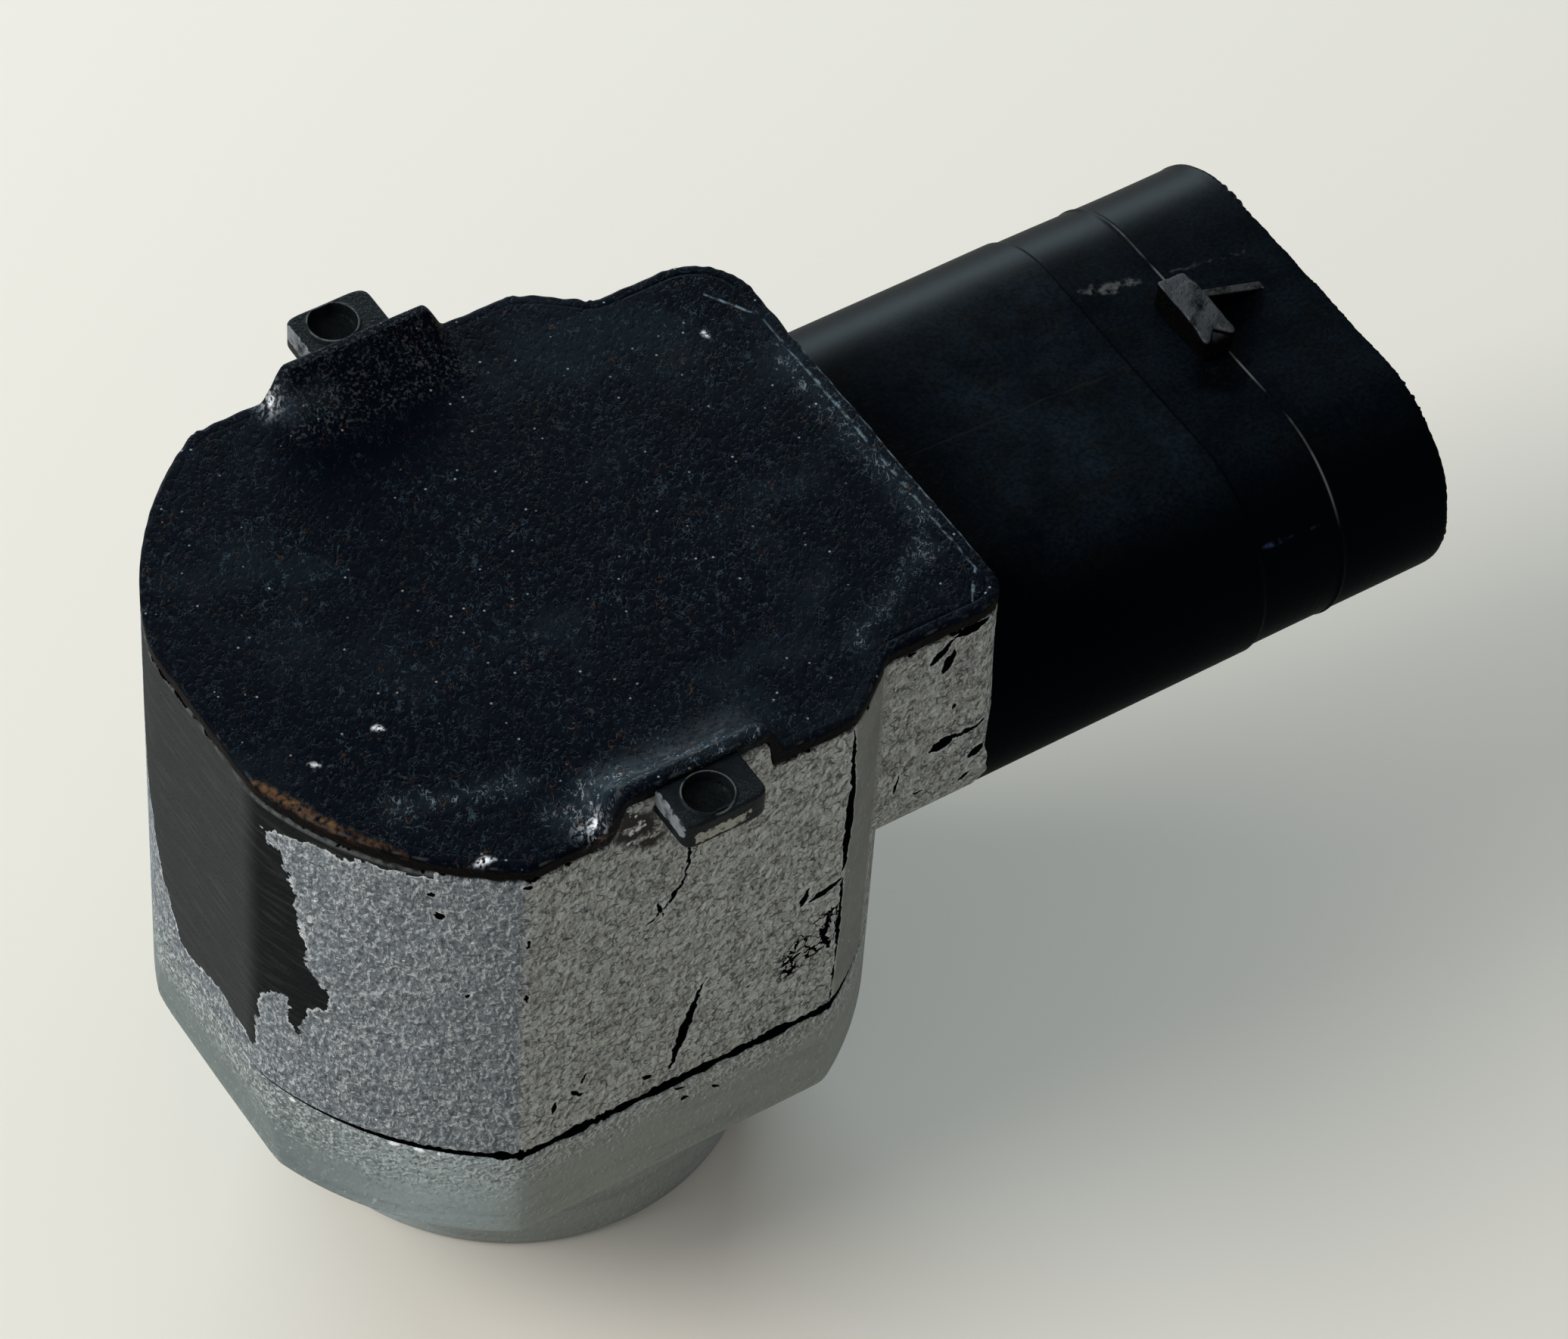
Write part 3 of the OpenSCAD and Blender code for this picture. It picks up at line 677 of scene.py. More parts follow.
@dataclass(frozen=True)
class CollarPaint(Finish):
    """Smooth grey-green paint with faint streaks, speckled next to the joint line, whose groove is black."""

    coat_rough: float = 0.4
    # The label side is darker as painted shade that offsets the lamp lighting it from the left.
    label: Colour = (0.115, 0.141, 0.142)
    left: Colour = (0.226, 0.273, 0.278)
    near: Colour = (0.180, 0.194, 0.174)
    dark: Colour = (0.05, 0.054, 0.058)
    pale: Colour = (0.46, 0.50, 0.51)
    black: Colour = (0.0010, 0.0012, 0.0016)
    white: Colour = (0.75, 0.78, 0.80)
    sheen: float = 0.35
    depth: float = 0.014
    scars: tuple[Scar, ...] = ()
    glints: tuple[Scar, ...] = ()

    def surface(self, sk: Sketch, fx: Effects) -> dict[str, Term]:
        """Paint that changes tone round the collar, darker on the label side as painted shade and lighter on
        the nose as painted light, with specks towards the joint, painted light and shade on wrinkles, and
        black below its edge.

        Args:
            sk: sketch that is drawn in.
            fx: shared effects.

        Returns:
            What changes over the surface, by socket.
        """
        place = sk.place()
        x, _, z = sk.parts(place)
        base = sk.mix(sk.rise(x, -13.2, -9.5), self.label, self.left)
        base = sk.mix(sk.rise(x, -8.5, -5.5), base, self.near)
        # Painted light: the nose below the collar's edge is lightened to offset the shade under that edge.
        base = sk.mix(sk.fall(z, 6.0, 7.6), base, sk.mix(0.1, base, self.pale))
        streak = sk.noise(sk.stretched(place, (0.35, 0.35, 2.2)), 0.8, 4.0, 0.5)
        base = sk.mix(sk.rise(streak, 0.42, 0.75, 0.42), base, sk.mix(0.5, base, self.dark))
        joint = sk.fall(x, -7.4, -6.6, 0.9) + (sk.noise(place, 0.6, 3.0) * 1.8 + z)
        joint = sk.rise(joint, 10.4, 12.6)
        worm = sk.group(fx.fleck, place, Scale=4.2, Width=0.08)
        colour = sk.mix((joint * 0.6 + 0.14) * worm["Pits"], base, self.dark)
        colour = sk.mix(worm["Flecks"] * joint * 0.75, colour, self.pale)
        # Painted light and shade: one flank of each of the wrinkles is lightened and the other darkened,
        # most towards the joint.
        shade = worm["Shade"] * (joint * 0.65 + 0.35)
        colour = sk.mix(sk.rise(shade, 0.05, 1.0, 0.65), colour, self.pale)
        colour = sk.mix(sk.rise(-shade, 0.05, 1.0, 0.6), colour, self.dark)
        colour = sk.mix(fx.near(sk, place, self.glints, 0.2, -0.05, 0.05), colour, self.white)
        whole = sk.rise(fx.marks(sk, place, self.scars, 0.4), -0.02, 0.02)
        shown = whole * sk.rise(sk.kept(), 0.0, 0.3)
        return {
            "Base Color": sk.mix(shown, self.black, colour),
            "Roughness": sk.lerp(joint, 0.45, 0.62),
            "Coat Weight": shown * self.sheen,
            "Normal": sk.relief(worm["Height"] * (joint * 0.9 + 0.1), self.depth),
        }


@dataclass(frozen=True)
class GrainedPlastic(Finish):
    """Near-black plastic with a sparkling grain, dust, rubbed edges and rust-coloured dirt."""

    base: Colour = (0.0002, 0.0012, 0.0034)
    grey: Colour = (0.066, 0.114, 0.148)
    rust: Colour = (0.135, 0.070, 0.030)
    haze: Colour = (0.026, 0.042, 0.055)
    dark_band: Colour = (0.0012, 0.0009, 0.0008)
    crumbs: Colour = (0.044, 0.047, 0.048)
    white: Colour = (0.72, 0.75, 0.78)
    # Colour of faces that do not look up: dirt with painted shade.
    steep_dirt_and_shade: Colour = (0.0022, 0.0016, 0.0014)
    drawn_turn: float = -36.2
    dust_scale: float = 0.22
    dust_level: float = 0.5
    dusty: float = 0.12
    facing: float = -0.1
    dark_band_z: float = 0.0
    lip_y: float = 100.0
    grain: float = 0.02
    rough: float = 0.5
    rubbed: tuple[Scar, ...] = ()
    dirty: tuple[Scar, ...] = ()
    scratched: tuple[Scar, ...] = ()
    glows: tuple[Scar, ...] = ()
    glints: tuple[Scar, ...] = ()

    def surface(self, sk: Sketch, fx: Effects) -> dict[str, Term]:
        """Black with drawn-out flecks, partly painted glints, that are denser on rubs, then dust, dirt,
        scratches, a dark band low on the side, dirt and painted shade on faces that do not look up, and
        painted glows and glints.

        Args:
            sk: sketch that is drawn in.
            fx: shared effects.

        Returns:
            What changes over the surface, by socket.
        """
        place = sk.place()
        x, y, z = sk.parts(place)
        # The flecks are partly the grain's colour and partly painted glints of the grain, drawn out along
        # the view's upward direction.
        turned = (0.0, 0.0, math.radians(self.drawn_turn))
        inputs = {"Vector": place, "Rotation": turned, "Scale": (1.0, 1.7, 1.0)}
        drawn = sk.node("Mapping", inputs, vector_type="TEXTURE")[0]
        worm = sk.group(fx.fleck, drawn, Scale=3.9, Width=0.035)
        tint = sk.patches(place, 1.9, 1.0, 0.57, 0.65)
        few = sk.patches(place, 0.2, 3.0, 0.42, 0.62)
        worn = fx.near(sk, place, self.rubbed, 1.0, -0.4, 1.3)
        share = sk.math("ADD", worn * 0.8, few * 0.17 + 0.11, clamp=True)
        speck_and_glint = sk.mix(tint, sk.mix(worn, self.grey, sk.mix(0.4, self.grey, self.white)), self.rust)
        colour = sk.mix(share * worm["Flecks"], self.base, speck_and_glint)
        slope = sk.fall(abs(x), 3.2, 4.4) * sk.rise(y, self.lip_y, self.lip_y + 1.2)
        colour = sk.mix(slope * sk.patches(place, 7.4, 3.0, 0.52, 0.66, 0.65), colour, self.crumbs)
        # Lone sparks are painted glints of the grain.
        lone = sk.group(fx.spark, place, Scale=3.4, Pick=0.0, Low=0.91, High=0.97, Far=0.22)["Mask"]
        colour = sk.mix(lone * 0.9, colour, sk.mix(0.2, speck_and_glint, self.white))
        dusting = dict(Scale=self.dust_scale, Level=self.dust_level, Facing=self.facing)
        dust = sk.group(fx.dust, place, **dusting)["Mask"]
        colour = sk.mix(sk.math("ADD", worn * 0.3, dust * self.dusty, clamp=True), colour, self.haze)
        soil = fx.near(sk, place, self.dirty, 0.5, -0.15, 0.2)
        soil = soil * sk.patches(place, 3.6, 3.0, 0.33, 0.58, 0.85)
        colour = sk.mix(soil, colour, self.rust)
        line = fx.near(sk, place, self.scratched, 0.12, -0.02, 0.06)
        line = line * sk.patches(place, 2.6, 4.0, 0.4, 0.62)
        colour = sk.mix(line, colour, sk.mix(0.08, self.grey, self.white))
        # A darker band low on the cover's side, below a ragged height just above the seam.
        torn = sk.noise(place, 2.4, 4.0) * 0.3 + z
        colour = sk.mix(sk.fall(torn, self.dark_band_z + 0.1, self.dark_band_z + 0.2), colour, self.dark_band)
        # Dirt and painted shade: faces that do not look up turn dark brown on the cover and black on the nub
        # and gusset, where those sides lie in shade.
        upward = sk.upward()
        cloud = sk.noise(place, 1.6, 4.0)
        steep_dirt_and_shade_share = sk.fall(upward, 0.1, 0.6) * sk.rise(cloud, 0.3, 0.5, 0.85)
        colour = sk.mix(steep_dirt_and_shade_share, colour, self.steep_dirt_and_shade)
        bend = sk.rise(upward, 0.4, 0.7) * sk.fall(upward, 0.8, 0.97) * (1.0 - slope)
        colour = sk.mix(bend * sk.rise(cloud, 0.5, 0.66, 0.6), colour, self.crumbs)
        gap = fx.marks(sk, place, self.glows, 0.3)
        halo = sk.fall(gap, -0.1, 1.1) ** 2.0 * sk.rise(worm["Shade"], -0.2, 0.9, 0.4)
        colour = sk.mix(halo, colour, self.white)
        gap = sk.least(gap, fx.marks(sk, place, self.glints, 0.3))
        shine = sk.fall(gap, -0.08, 0.2) ** 2.0 * sk.patches(place, 7.0, 2.0, 0.36, 0.54)
        return {
            "Base Color": sk.mix(shine, colour, self.white),
            "Roughness": dust * 0.15 + self.rough,
            "Normal": sk.relief(worm["Height"], self.grain),
        }


@dataclass(frozen=True)
class LugPlastic(Finish):
    """Black lug with a rubbed ring, a worn left side and old paint on its outer face."""

    base: Colour = (0.0042, 0.0062, 0.0074)
    # Painted shade inside the mark's recess.
    deep: Colour = (0.0016, 0.0022, 0.0030)
    ring: Colour = (0.075, 0.085, 0.085)
    worn: Colour = (0.145, 0.16, 0.175)
    paint: Colour = (0.27, 0.275, 0.235)
    haze: Colour = (0.012, 0.0165, 0.019)
    outer: float = 14.1
    half_x: float = 1.75
    mark_x: float = -0.2
    mark_y: float = 13.05
    ring_r: float = 0.98
    mid_z: float = 29.85
    depth: float = 0.012

    def surface(self, sk: Sketch, fx: Effects) -> dict[str, Term]:
        """Black with haze, painted shade in the mark's recess, a pale ring by distance from the mark's
        centre, and ragged paint on two faces.

        Args:
            sk: sketch that is drawn in.
            fx: shared effects.

        Returns:
            What changes over the surface, by socket.
        """
        place = sk.place()
        x, y, z = sk.parts(place)
        away = abs(y)
        worm = sk.group(fx.fleck, place, Scale=5.0, Width=0.05)
        cloud = sk.noise(place, 1.6, 3.0)
        colour = sk.mix(sk.rise(cloud, 0.42, 0.68, 0.5), self.base, self.haze)
        aside, across = x - self.mark_x, away - self.mark_y
        radius = (aside * aside + across * across) ** 0.5
        line = sk.fall(abs(radius - self.ring_r), 0.01, 0.05) * sk.rise(z, 30.2, 30.4)
        line = line * sk.patches(place, 1.1, 2.0, 0.4, 0.55)
        # Painted shade: the mark's recess is darkened inside the rim.
        recess_shade = sk.fall(radius, self.ring_r - 0.08, self.ring_r)
        colour = sk.mix(line, sk.mix(recess_shade * 0.6, colour, self.deep), self.ring)
        low = 0.25 - abs(z - (self.mid_z - 0.2))
        inside = sk.least(low, 1.15 - abs(x - self.mark_x), away - (self.outer - 0.08))
        old = sk.group(fx.ragged, place, Distance=inside, Coarse=0.5, Fine=0.5)["Mask"]
        colour = sk.mix(old, colour, sk.mix(worm["Pits"] * 0.6, self.paint, self.base))
        left = sk.least(-x - (self.half_x - 0.07), z - (self.mid_z - 0.15))
        rub = sk.group(fx.ragged, place, Distance=left, Coarse=0.12, Fine=0.25)["Mask"]
        return {
            "Base Color": sk.mix(rub * sk.rise(cloud, 0.3, 0.55), colour, self.worn),
            "Roughness": sk.lerp(old, 0.42, 0.65),
            "Normal": sk.relief(worm["Height"] + old, self.depth),
        }


@dataclass(frozen=True)
class ConnectorPlastic(Finish):
    """Black moulded plastic with a soft sheen, brown dust on top and a few rubbed lines."""

    coat_rough: float = 0.36
    base: Colour = (0.0005, 0.0011, 0.0019)
    brown: Colour = (0.0062, 0.0064, 0.0064)
    blue: Colour = (0.0050, 0.0090, 0.0132)
    light: Colour = (0.26, 0.26, 0.25)
    sky: Colour = (0.032, 0.048, 0.120)
    lines: tuple[Scar, ...] = ()
    rubs: tuple[Scar, ...] = ()
    # Painted sky reflections: thin blue lines on the near side's upper bend.
    streaks: tuple[Scar, ...] = ()
    # Painted shadows beside the nub's near end and under the gusset, where the dust film is left out.
    nub_shadows: tuple[Scar, ...] = ()
    sheen: float = 0.08
    ridge_x: float = 31.0
    step_x: float = 27.3
    depth: float = 0.012

    def surface(self, sk: Sketch, fx: Effects) -> dict[str, Term]:
        """Black with a cloudy film on top, thicker before the step and left out in painted shadows by the
        nub, then lines, rubs, a painted sky reflection and a worn ridge.

        Args:
            sk: sketch that is drawn in.
            fx: shared effects.

        Returns:
            What changes over the surface, by socket.
        """
        place = sk.place()
        x, y, z = sk.parts(place)
        before = sk.fall(x, self.step_x - 0.1, self.step_x + 0.1) * sk.rise(x, 17.0, 22.0)
        dust = sk.group(fx.dust, place, Scale=0.33, Level=0.2, Facing=0.76)["Mask"]
        film = dust * (before * 0.24 + sk.rise(x, 16.0, 20.0, 0.36))
        film = film * (sk.noise(place, 0.5, 6.0) * 2.6 - 0.4)
        film = film * (sk.patches(place, 6.0, 3.0, 0.32, 0.68, 0.9) + 0.5)
        # Painted shadow: the film is left out inside the nub's shadow marks, so the plastic there stays
        # black.
        outside_nub_shadows = sk.rise(fx.marks(sk, place, self.nub_shadows, 0.6), -0.2, 0.5)
        hue = sk.mix(sk.patches(place, 0.7, 4.0, 0.5, 0.66, 0.7), self.blue, self.brown)
        colour = sk.mix(sk.math("MULTIPLY", film, outside_nub_shadows, clamp=True), self.base, hue)
        fine = sk.group(fx.fleck, place, Scale=3.4, Width=0.05)
        colour = sk.mix(fine["Flecks"] * (dust * 0.5), colour, self.brown)
        seam = fx.near(sk, place, self.lines, 0.2, -0.05, 0.05)
        colour = sk.mix(seam * 0.7, colour, self.brown)
        worn = fx.near(sk, place, self.rubs, 0.6, -0.15, 0.1)
        worn = worn * sk.patches(place, 3.0, 3.0, 0.36, 0.62)
        colour = sk.mix(worn * 0.22, colour, self.light)
        # Painted sky reflection: a thin blue line along the near side's upper bend.
        streak = fx.near(sk, place, self.streaks, 0.3, -0.06, 0.08)
        streak = streak * sk.patches(place, 2.0, 3.0, 0.34, 0.54)
        colour = sk.mix(streak, colour, self.sky)
        flash = sk.fall(abs(x - self.ridge_x), 0.02, 0.07) * sk.patches(place, 0.5, 4.0, 0.28, 0.6)
        flash = flash * sk.rise(z, 22.8, 24.4) * sk.fall(y, 5.6, 7.2)
        return {
            "Base Color": sk.mix(flash * 0.3, colour, self.light),
            "Roughness": dust * 0.18 + 0.42,
            "Coat Weight": sk.rise(y, 2.4, 6.4, self.sheen),
            "Normal": sk.relief(fine["Height"] * 0.35 + seam * -0.8, self.depth),
        }


@dataclass(frozen=True)
class PlainFinish(Finish):
    """Even finish of an inner piece with cloudy tone and light grain."""

    colour: Colour = (0.5, 0.5, 0.5)
    rough: float = 0.5
    grain: float = 0.006

    def surface(self, sk: Sketch, fx: Effects) -> dict[str, Term]:
        """One colour, a little deeper and smoother where cloud noise is low.

        Args:
            sk: sketch that is drawn in.
            fx: shared effects.

        Returns:
            What changes over the surface, by socket.
        """
        place = sk.place()
        cloud = sk.patches(place, 0.6, 3.0, 0.35, 0.7)
        worm = sk.group(fx.fleck, place, Scale=2.0, Width=0.05)
        return {
            "Base Color": sk.mix(cloud, tuple(0.72 * c for c in self.colour), self.colour),
            "Roughness": cloud * 0.12 + (self.rough - 0.06),
            "Normal": sk.relief(worm["Height"], self.grain),
        }


def unit(vectors: Array) -> Array:
    """Gives rows of vectors at unit length."""
    return vectors / np.linalg.norm(vectors, axis=1)[:, None]


@dataclass(frozen=True)
class Outline:
    """Closed outline in plan: its points, outward normals and place along the loop."""

    points: Array
    normals: Array
    turn: Array

    def inset(self, amount: Union[float, Array]) -> Array:
        """Gives the outline moved in by amount along its normals."""
        return self.points - np.asarray(amount, float)[..., None] * self.normals


@dataclass(frozen=True)
class BodyPlan:
    """Plan of the round body with two side flats, a label flat and the connector block."""

    radius: float = 13.8
    flat: float = 12.0
    label: float = 13.3
    block_x: float = 15.0
    block_y: float = 10.1
    near_r: float = 1.4
    far_r: float = 2.6
    crispness: float = 190.0
    fillet: float = 110.0
    bend: float = 2.5
    samples: int = 40001

    def body_radius(self, angle: Array) -> Array:
        """Polar radius of the body: the smooth least of circle, side flats and label flat.

        Args:
            angle: polar angles.

        Returns:
            Radii, by a sum of high negative powers.
        """
        sides = self.flat / np.maximum(np.abs(np.sin(angle)), 1e-3)
        label = self.label / np.maximum(-np.cos(angle), 1e-3)
        power = -self.crispness
        total = (sides / self.radius) ** power + (label / self.radius) ** power + 1.0
        return self.radius * total ** (1.0 / power)

    def block_radius(self, angle: Array) -> Array:
        """Polar radius of the block: where the ray leaves a rectangle whose two outer corners are round.

        Args:
            angle: polar angles.

        Returns:
            Radii, next to nothing behind the axis.
        """
        c, s = np.cos(angle), np.sin(angle)
        reach = np.minimum(self.block_x / np.maximum(c, 1e-3), self.block_y / np.maximum(np.abs(s), 1e-3))
        corner = np.where(s < 0.0, self.near_r, self.far_r)
        cx = self.block_x - corner
        cy = np.where(s < 0.0, -1.0, 1.0) * (self.block_y - corner)
        beyond = (reach * c > cx) & (np.abs(reach * s) > np.abs(cy))
        along = c * cx + s * cy
        root = np.maximum(along**2 - cx**2 - cy**2 + corner**2, 0.0)
        return np.where(c > 0.02, np.where(beyond, along + np.sqrt(root), reach), 1.0)

    def outline(self, count: int, with_block: bool) -> Outline:
        """Outline sampled more closely where it bends and at the lips' ends.

        A turn of one radian counts for as many millimetres of length as bend says.

        Args:
            count: number of points.
            with_block: whether the block is joined to the body, by a sum of high powers.

        Returns:
            The outline, counter-clockwise from behind.
        """
        angle = np.linspace(-np.pi, np.pi, self.samples)[:-1]
        radius = self.body_radius(angle)
        if with_block:
            block = self.block_radius(angle)
            radius = radius * (1.0 + (block / radius) ** self.fillet) ** (1.0 / self.fillet)
        points = radius[:, None] * np.stack([np.cos(angle), np.sin(angle)], -1)
        ahead = unit(np.roll(points, -3, 0) - np.roll(points, 3, 0))
        normals = np.stack([ahead[:, 1], -ahead[:, 0]], -1)
        length = np.linalg.norm(np.roll(points, -1, 0) - points, axis=1)
        bends = np.linalg.norm(np.roll(normals, -1, 0) - normals, axis=1)
        at_end = bell(np.abs(points[:, 0]), 3.4, 0.35) * (np.abs(points[:, 1]) > 11.0)
        weight = np.concatenate([[0.0], np.cumsum(length * (1.0 + 3.0 * at_end) + self.bend * bends)])
        want = np.linspace(0.0, weight[-1], count + 1)[:-1]
        pick = np.interp(want, weight, np.arange(len(weight)))
        low = np.floor(pick).astype(int) % len(points)
        high = (low + 1) % len(points)
        t = (pick - np.floor(pick))[:, None]
        normal = unit(normals[low] * (1.0 - t) + normals[high] * t)
        return Outline(points[low] * (1.0 - t) + points[high] * t, normal, want / weight[-1])


def ring(plan: Array, z: Union[float, Array]) -> Array:
    """Row of points from a plan outline and a height."""
    return np.concatenate([plan, np.broadcast_to(z, plan.shape[:-1])[..., None]], -1)


@dataclass(frozen=True)
class Lip:
    """Raised lip of the cover beside each lug: a hollow slope that leans off at its ends."""

    foot_y: float = 8.4
    top_y: float = 11.5
    height: float = 1.6
    half_foot: float = 4.0
    half_top: float = 2.9
    hollow: float = 2.5
    post: float = 0.95
    post_half: float = 3.2

    def rise(self, plan: Array) -> Array:
        """Height over the rear face: the product of a hollow curve across and a smooth rise at both ends.

        Args:
            plan: points in plan.

        Returns:
            Heights, the hollow curve being a power of the way from foot to top.
        """
        x, y = np.abs(plan[:, 0]), np.abs(plan[:, 1])
        way = np.clip((y - self.foot_y) / (self.top_y - self.foot_y), 0.0, 1.0)
        return self.height * way**self.hollow * step(-x, -self.half_foot, -self.half_top)

    def seam(self, points: Array, low: float, rear: float) -> Array:
        """Height of the seam under the cover's edge, which steps up where the housing carries a lug.

        Args:
            points: outline points.
            low: height of the seam elsewhere.
            rear: height of the rear face.

        Returns:
            One height for each point.
        """
        soft = np.where(points[:, 0] < 0.0, 0.75, 0.4)
        under = step((self.post_half - np.abs(points[:, 0])) / soft, -0.5, 0.5)
        under = under * (np.abs(points[:, 1]) > self.top_y)
        return low + under * (rear + self.post - low)


@dataclass
class RearCover:
    """Black lid with a rounded edge, a fine line inside it and the two lips."""

    plan: BodyPlan = field(default_factory=BodyPlan)
    lip: Lip = field(default_factory=Lip)
    rear_z: float = 29.2
    seam_z: float = 28.56
    edge_r: float = 0.2
    lip_edge_r: float = 0.22
    line_in: float = 0.5
    line_d: float = 0.035
    line_w: float = 0.05
    edge_wobble: float = 0.035
    seam_wobble: float = 0.03
    foot_h: float = 0.07
    under_in: float = 1.3
    under_d: float = 0.4
    thick: float = 0.25
    unevenness: float = 0.012
    around: int = 1000
    under_insets: tuple[float, ...] = (1.2, 0.9, 0.6, 0.3, 0.12)
    line_insets: tuple[float, ...] = (
        0.37, 0.41, 0.44, 0.47, 0.5, 0.53, 0.56, 0.59, 0.64, 0.72, 0.85, 1.0
    )

    def build(self) -> bpy.types.Object:
        """Grid from the underside's centre, out, up the edge and in over the top.

        Each row is the outline at one inset; past an inset of 1 mm it shrinks evenly towards the axis. The
        top's height is the rear face plus the lips, less the rounded edge and the fine line.

        Returns:
            The lid.
        """
        line = self.plan.outline(self.around, True)
        wobble = np.clip(self.edge_wobble * ripple(line.turn, 3, 5, 150, 40), -0.1, 0.12)
        lifted = self.lip.rise(line.points) / self.lip.height
        edge = self.edge_r + (self.lip_edge_r - self.edge_r) * lifted + wobble * (1.0 - lifted)
        seam = self.lip.seam(line.points, self.seam_z, self.rear_z)
        seam = seam + self.seam_wobble * ripple(line.turn, 8, 20, 160)
        under = self.seam_z - self.under_d
        rows = [ring(line.inset(self.under_in) * s, under) for s in (0.1, 0.6, 1.0)]
        for plan in map(line.inset, self.under_insets):
            rows.append(ring(plan, np.minimum(seam, self.rear_z + self.lip.rise(plan) - self.thick)))
        rows.append(ring(line.inset(0.02), seam + 0.03))
        foot = seam + self.foot_h
        tall = self.rear_z + self.lip.rise(line.points) - edge - foot
        rows += [ring(line.points, foot + tall * t) for t in np.linspace(0.0, 1.0, 7)]
        turns = np.radians(np.linspace(90.0, 0.0, 9)[1:])
        rows += [self._top(line.inset(inset), drop) for inset, drop in quarter(edge, turns)]
        deep = self.line_d * (0.25 + 0.75 * step(line.points[:, 0], 8.0, 12.0))
        for inset in self.line_insets:
            rows.append(self._top(line.inset(inset), deep * bell(inset, self.line_in, self.line_w)))
        for s in np.concatenate([np.linspace(0.995, 0.62, 50), np.linspace(0.58, 0.03, 14)]):
            rows.append(self._top(line.inset(1.0) * s, 0.0))
        return grid_object("rear_cover_skin", np.stack(rows), Ends.POLES)

    def _top(self, plan: Array, drop: Union[float, Array]) -> Array:
        """Row on the top surface.

        Args:
            plan: the row's points in plan.
            drop: how far the rounded edge or the fine line lies under the top.

        Returns:
            The row, a little uneven and never above the lips.
        """
        z = self.rear_z + self.lip.rise(plan) - drop
        z = z + self.unevenness * lumps(ring(plan, 0.0), 5, 7.0)
        return ring(plan, np.minimum(z, self.rear_z + self.lip.height))


@dataclass(frozen=True)
class JointGroove:
    """Groove between the wall and the collar: its height and its half widths."""

    z: float = 11.9
    arc: float = 0.12
    flat: float = 0.02
    rag: float = 0.17
    shut: float = 0.085

    def half(self, line: Outline) -> Array:
        """Half width: wide and ragged on the flats, narrow on the arcs and almost shut at the label.

        Args:
            line: outline of the body.

        Returns:
            Half width at each point in millimetres.
        """
        flat = step(np.abs(line.points[:, 1]), 11.0, 11.9)
        label = step(-line.points[:, 0], 10.0, 13.3)
        rag = 0.5 + 0.5 * np.clip(ripple(line.turn, 21, 14, 90), -1.0, 1.0)
        return self.arc + flat * (self.flat + self.rag * rag) - self.shut * label


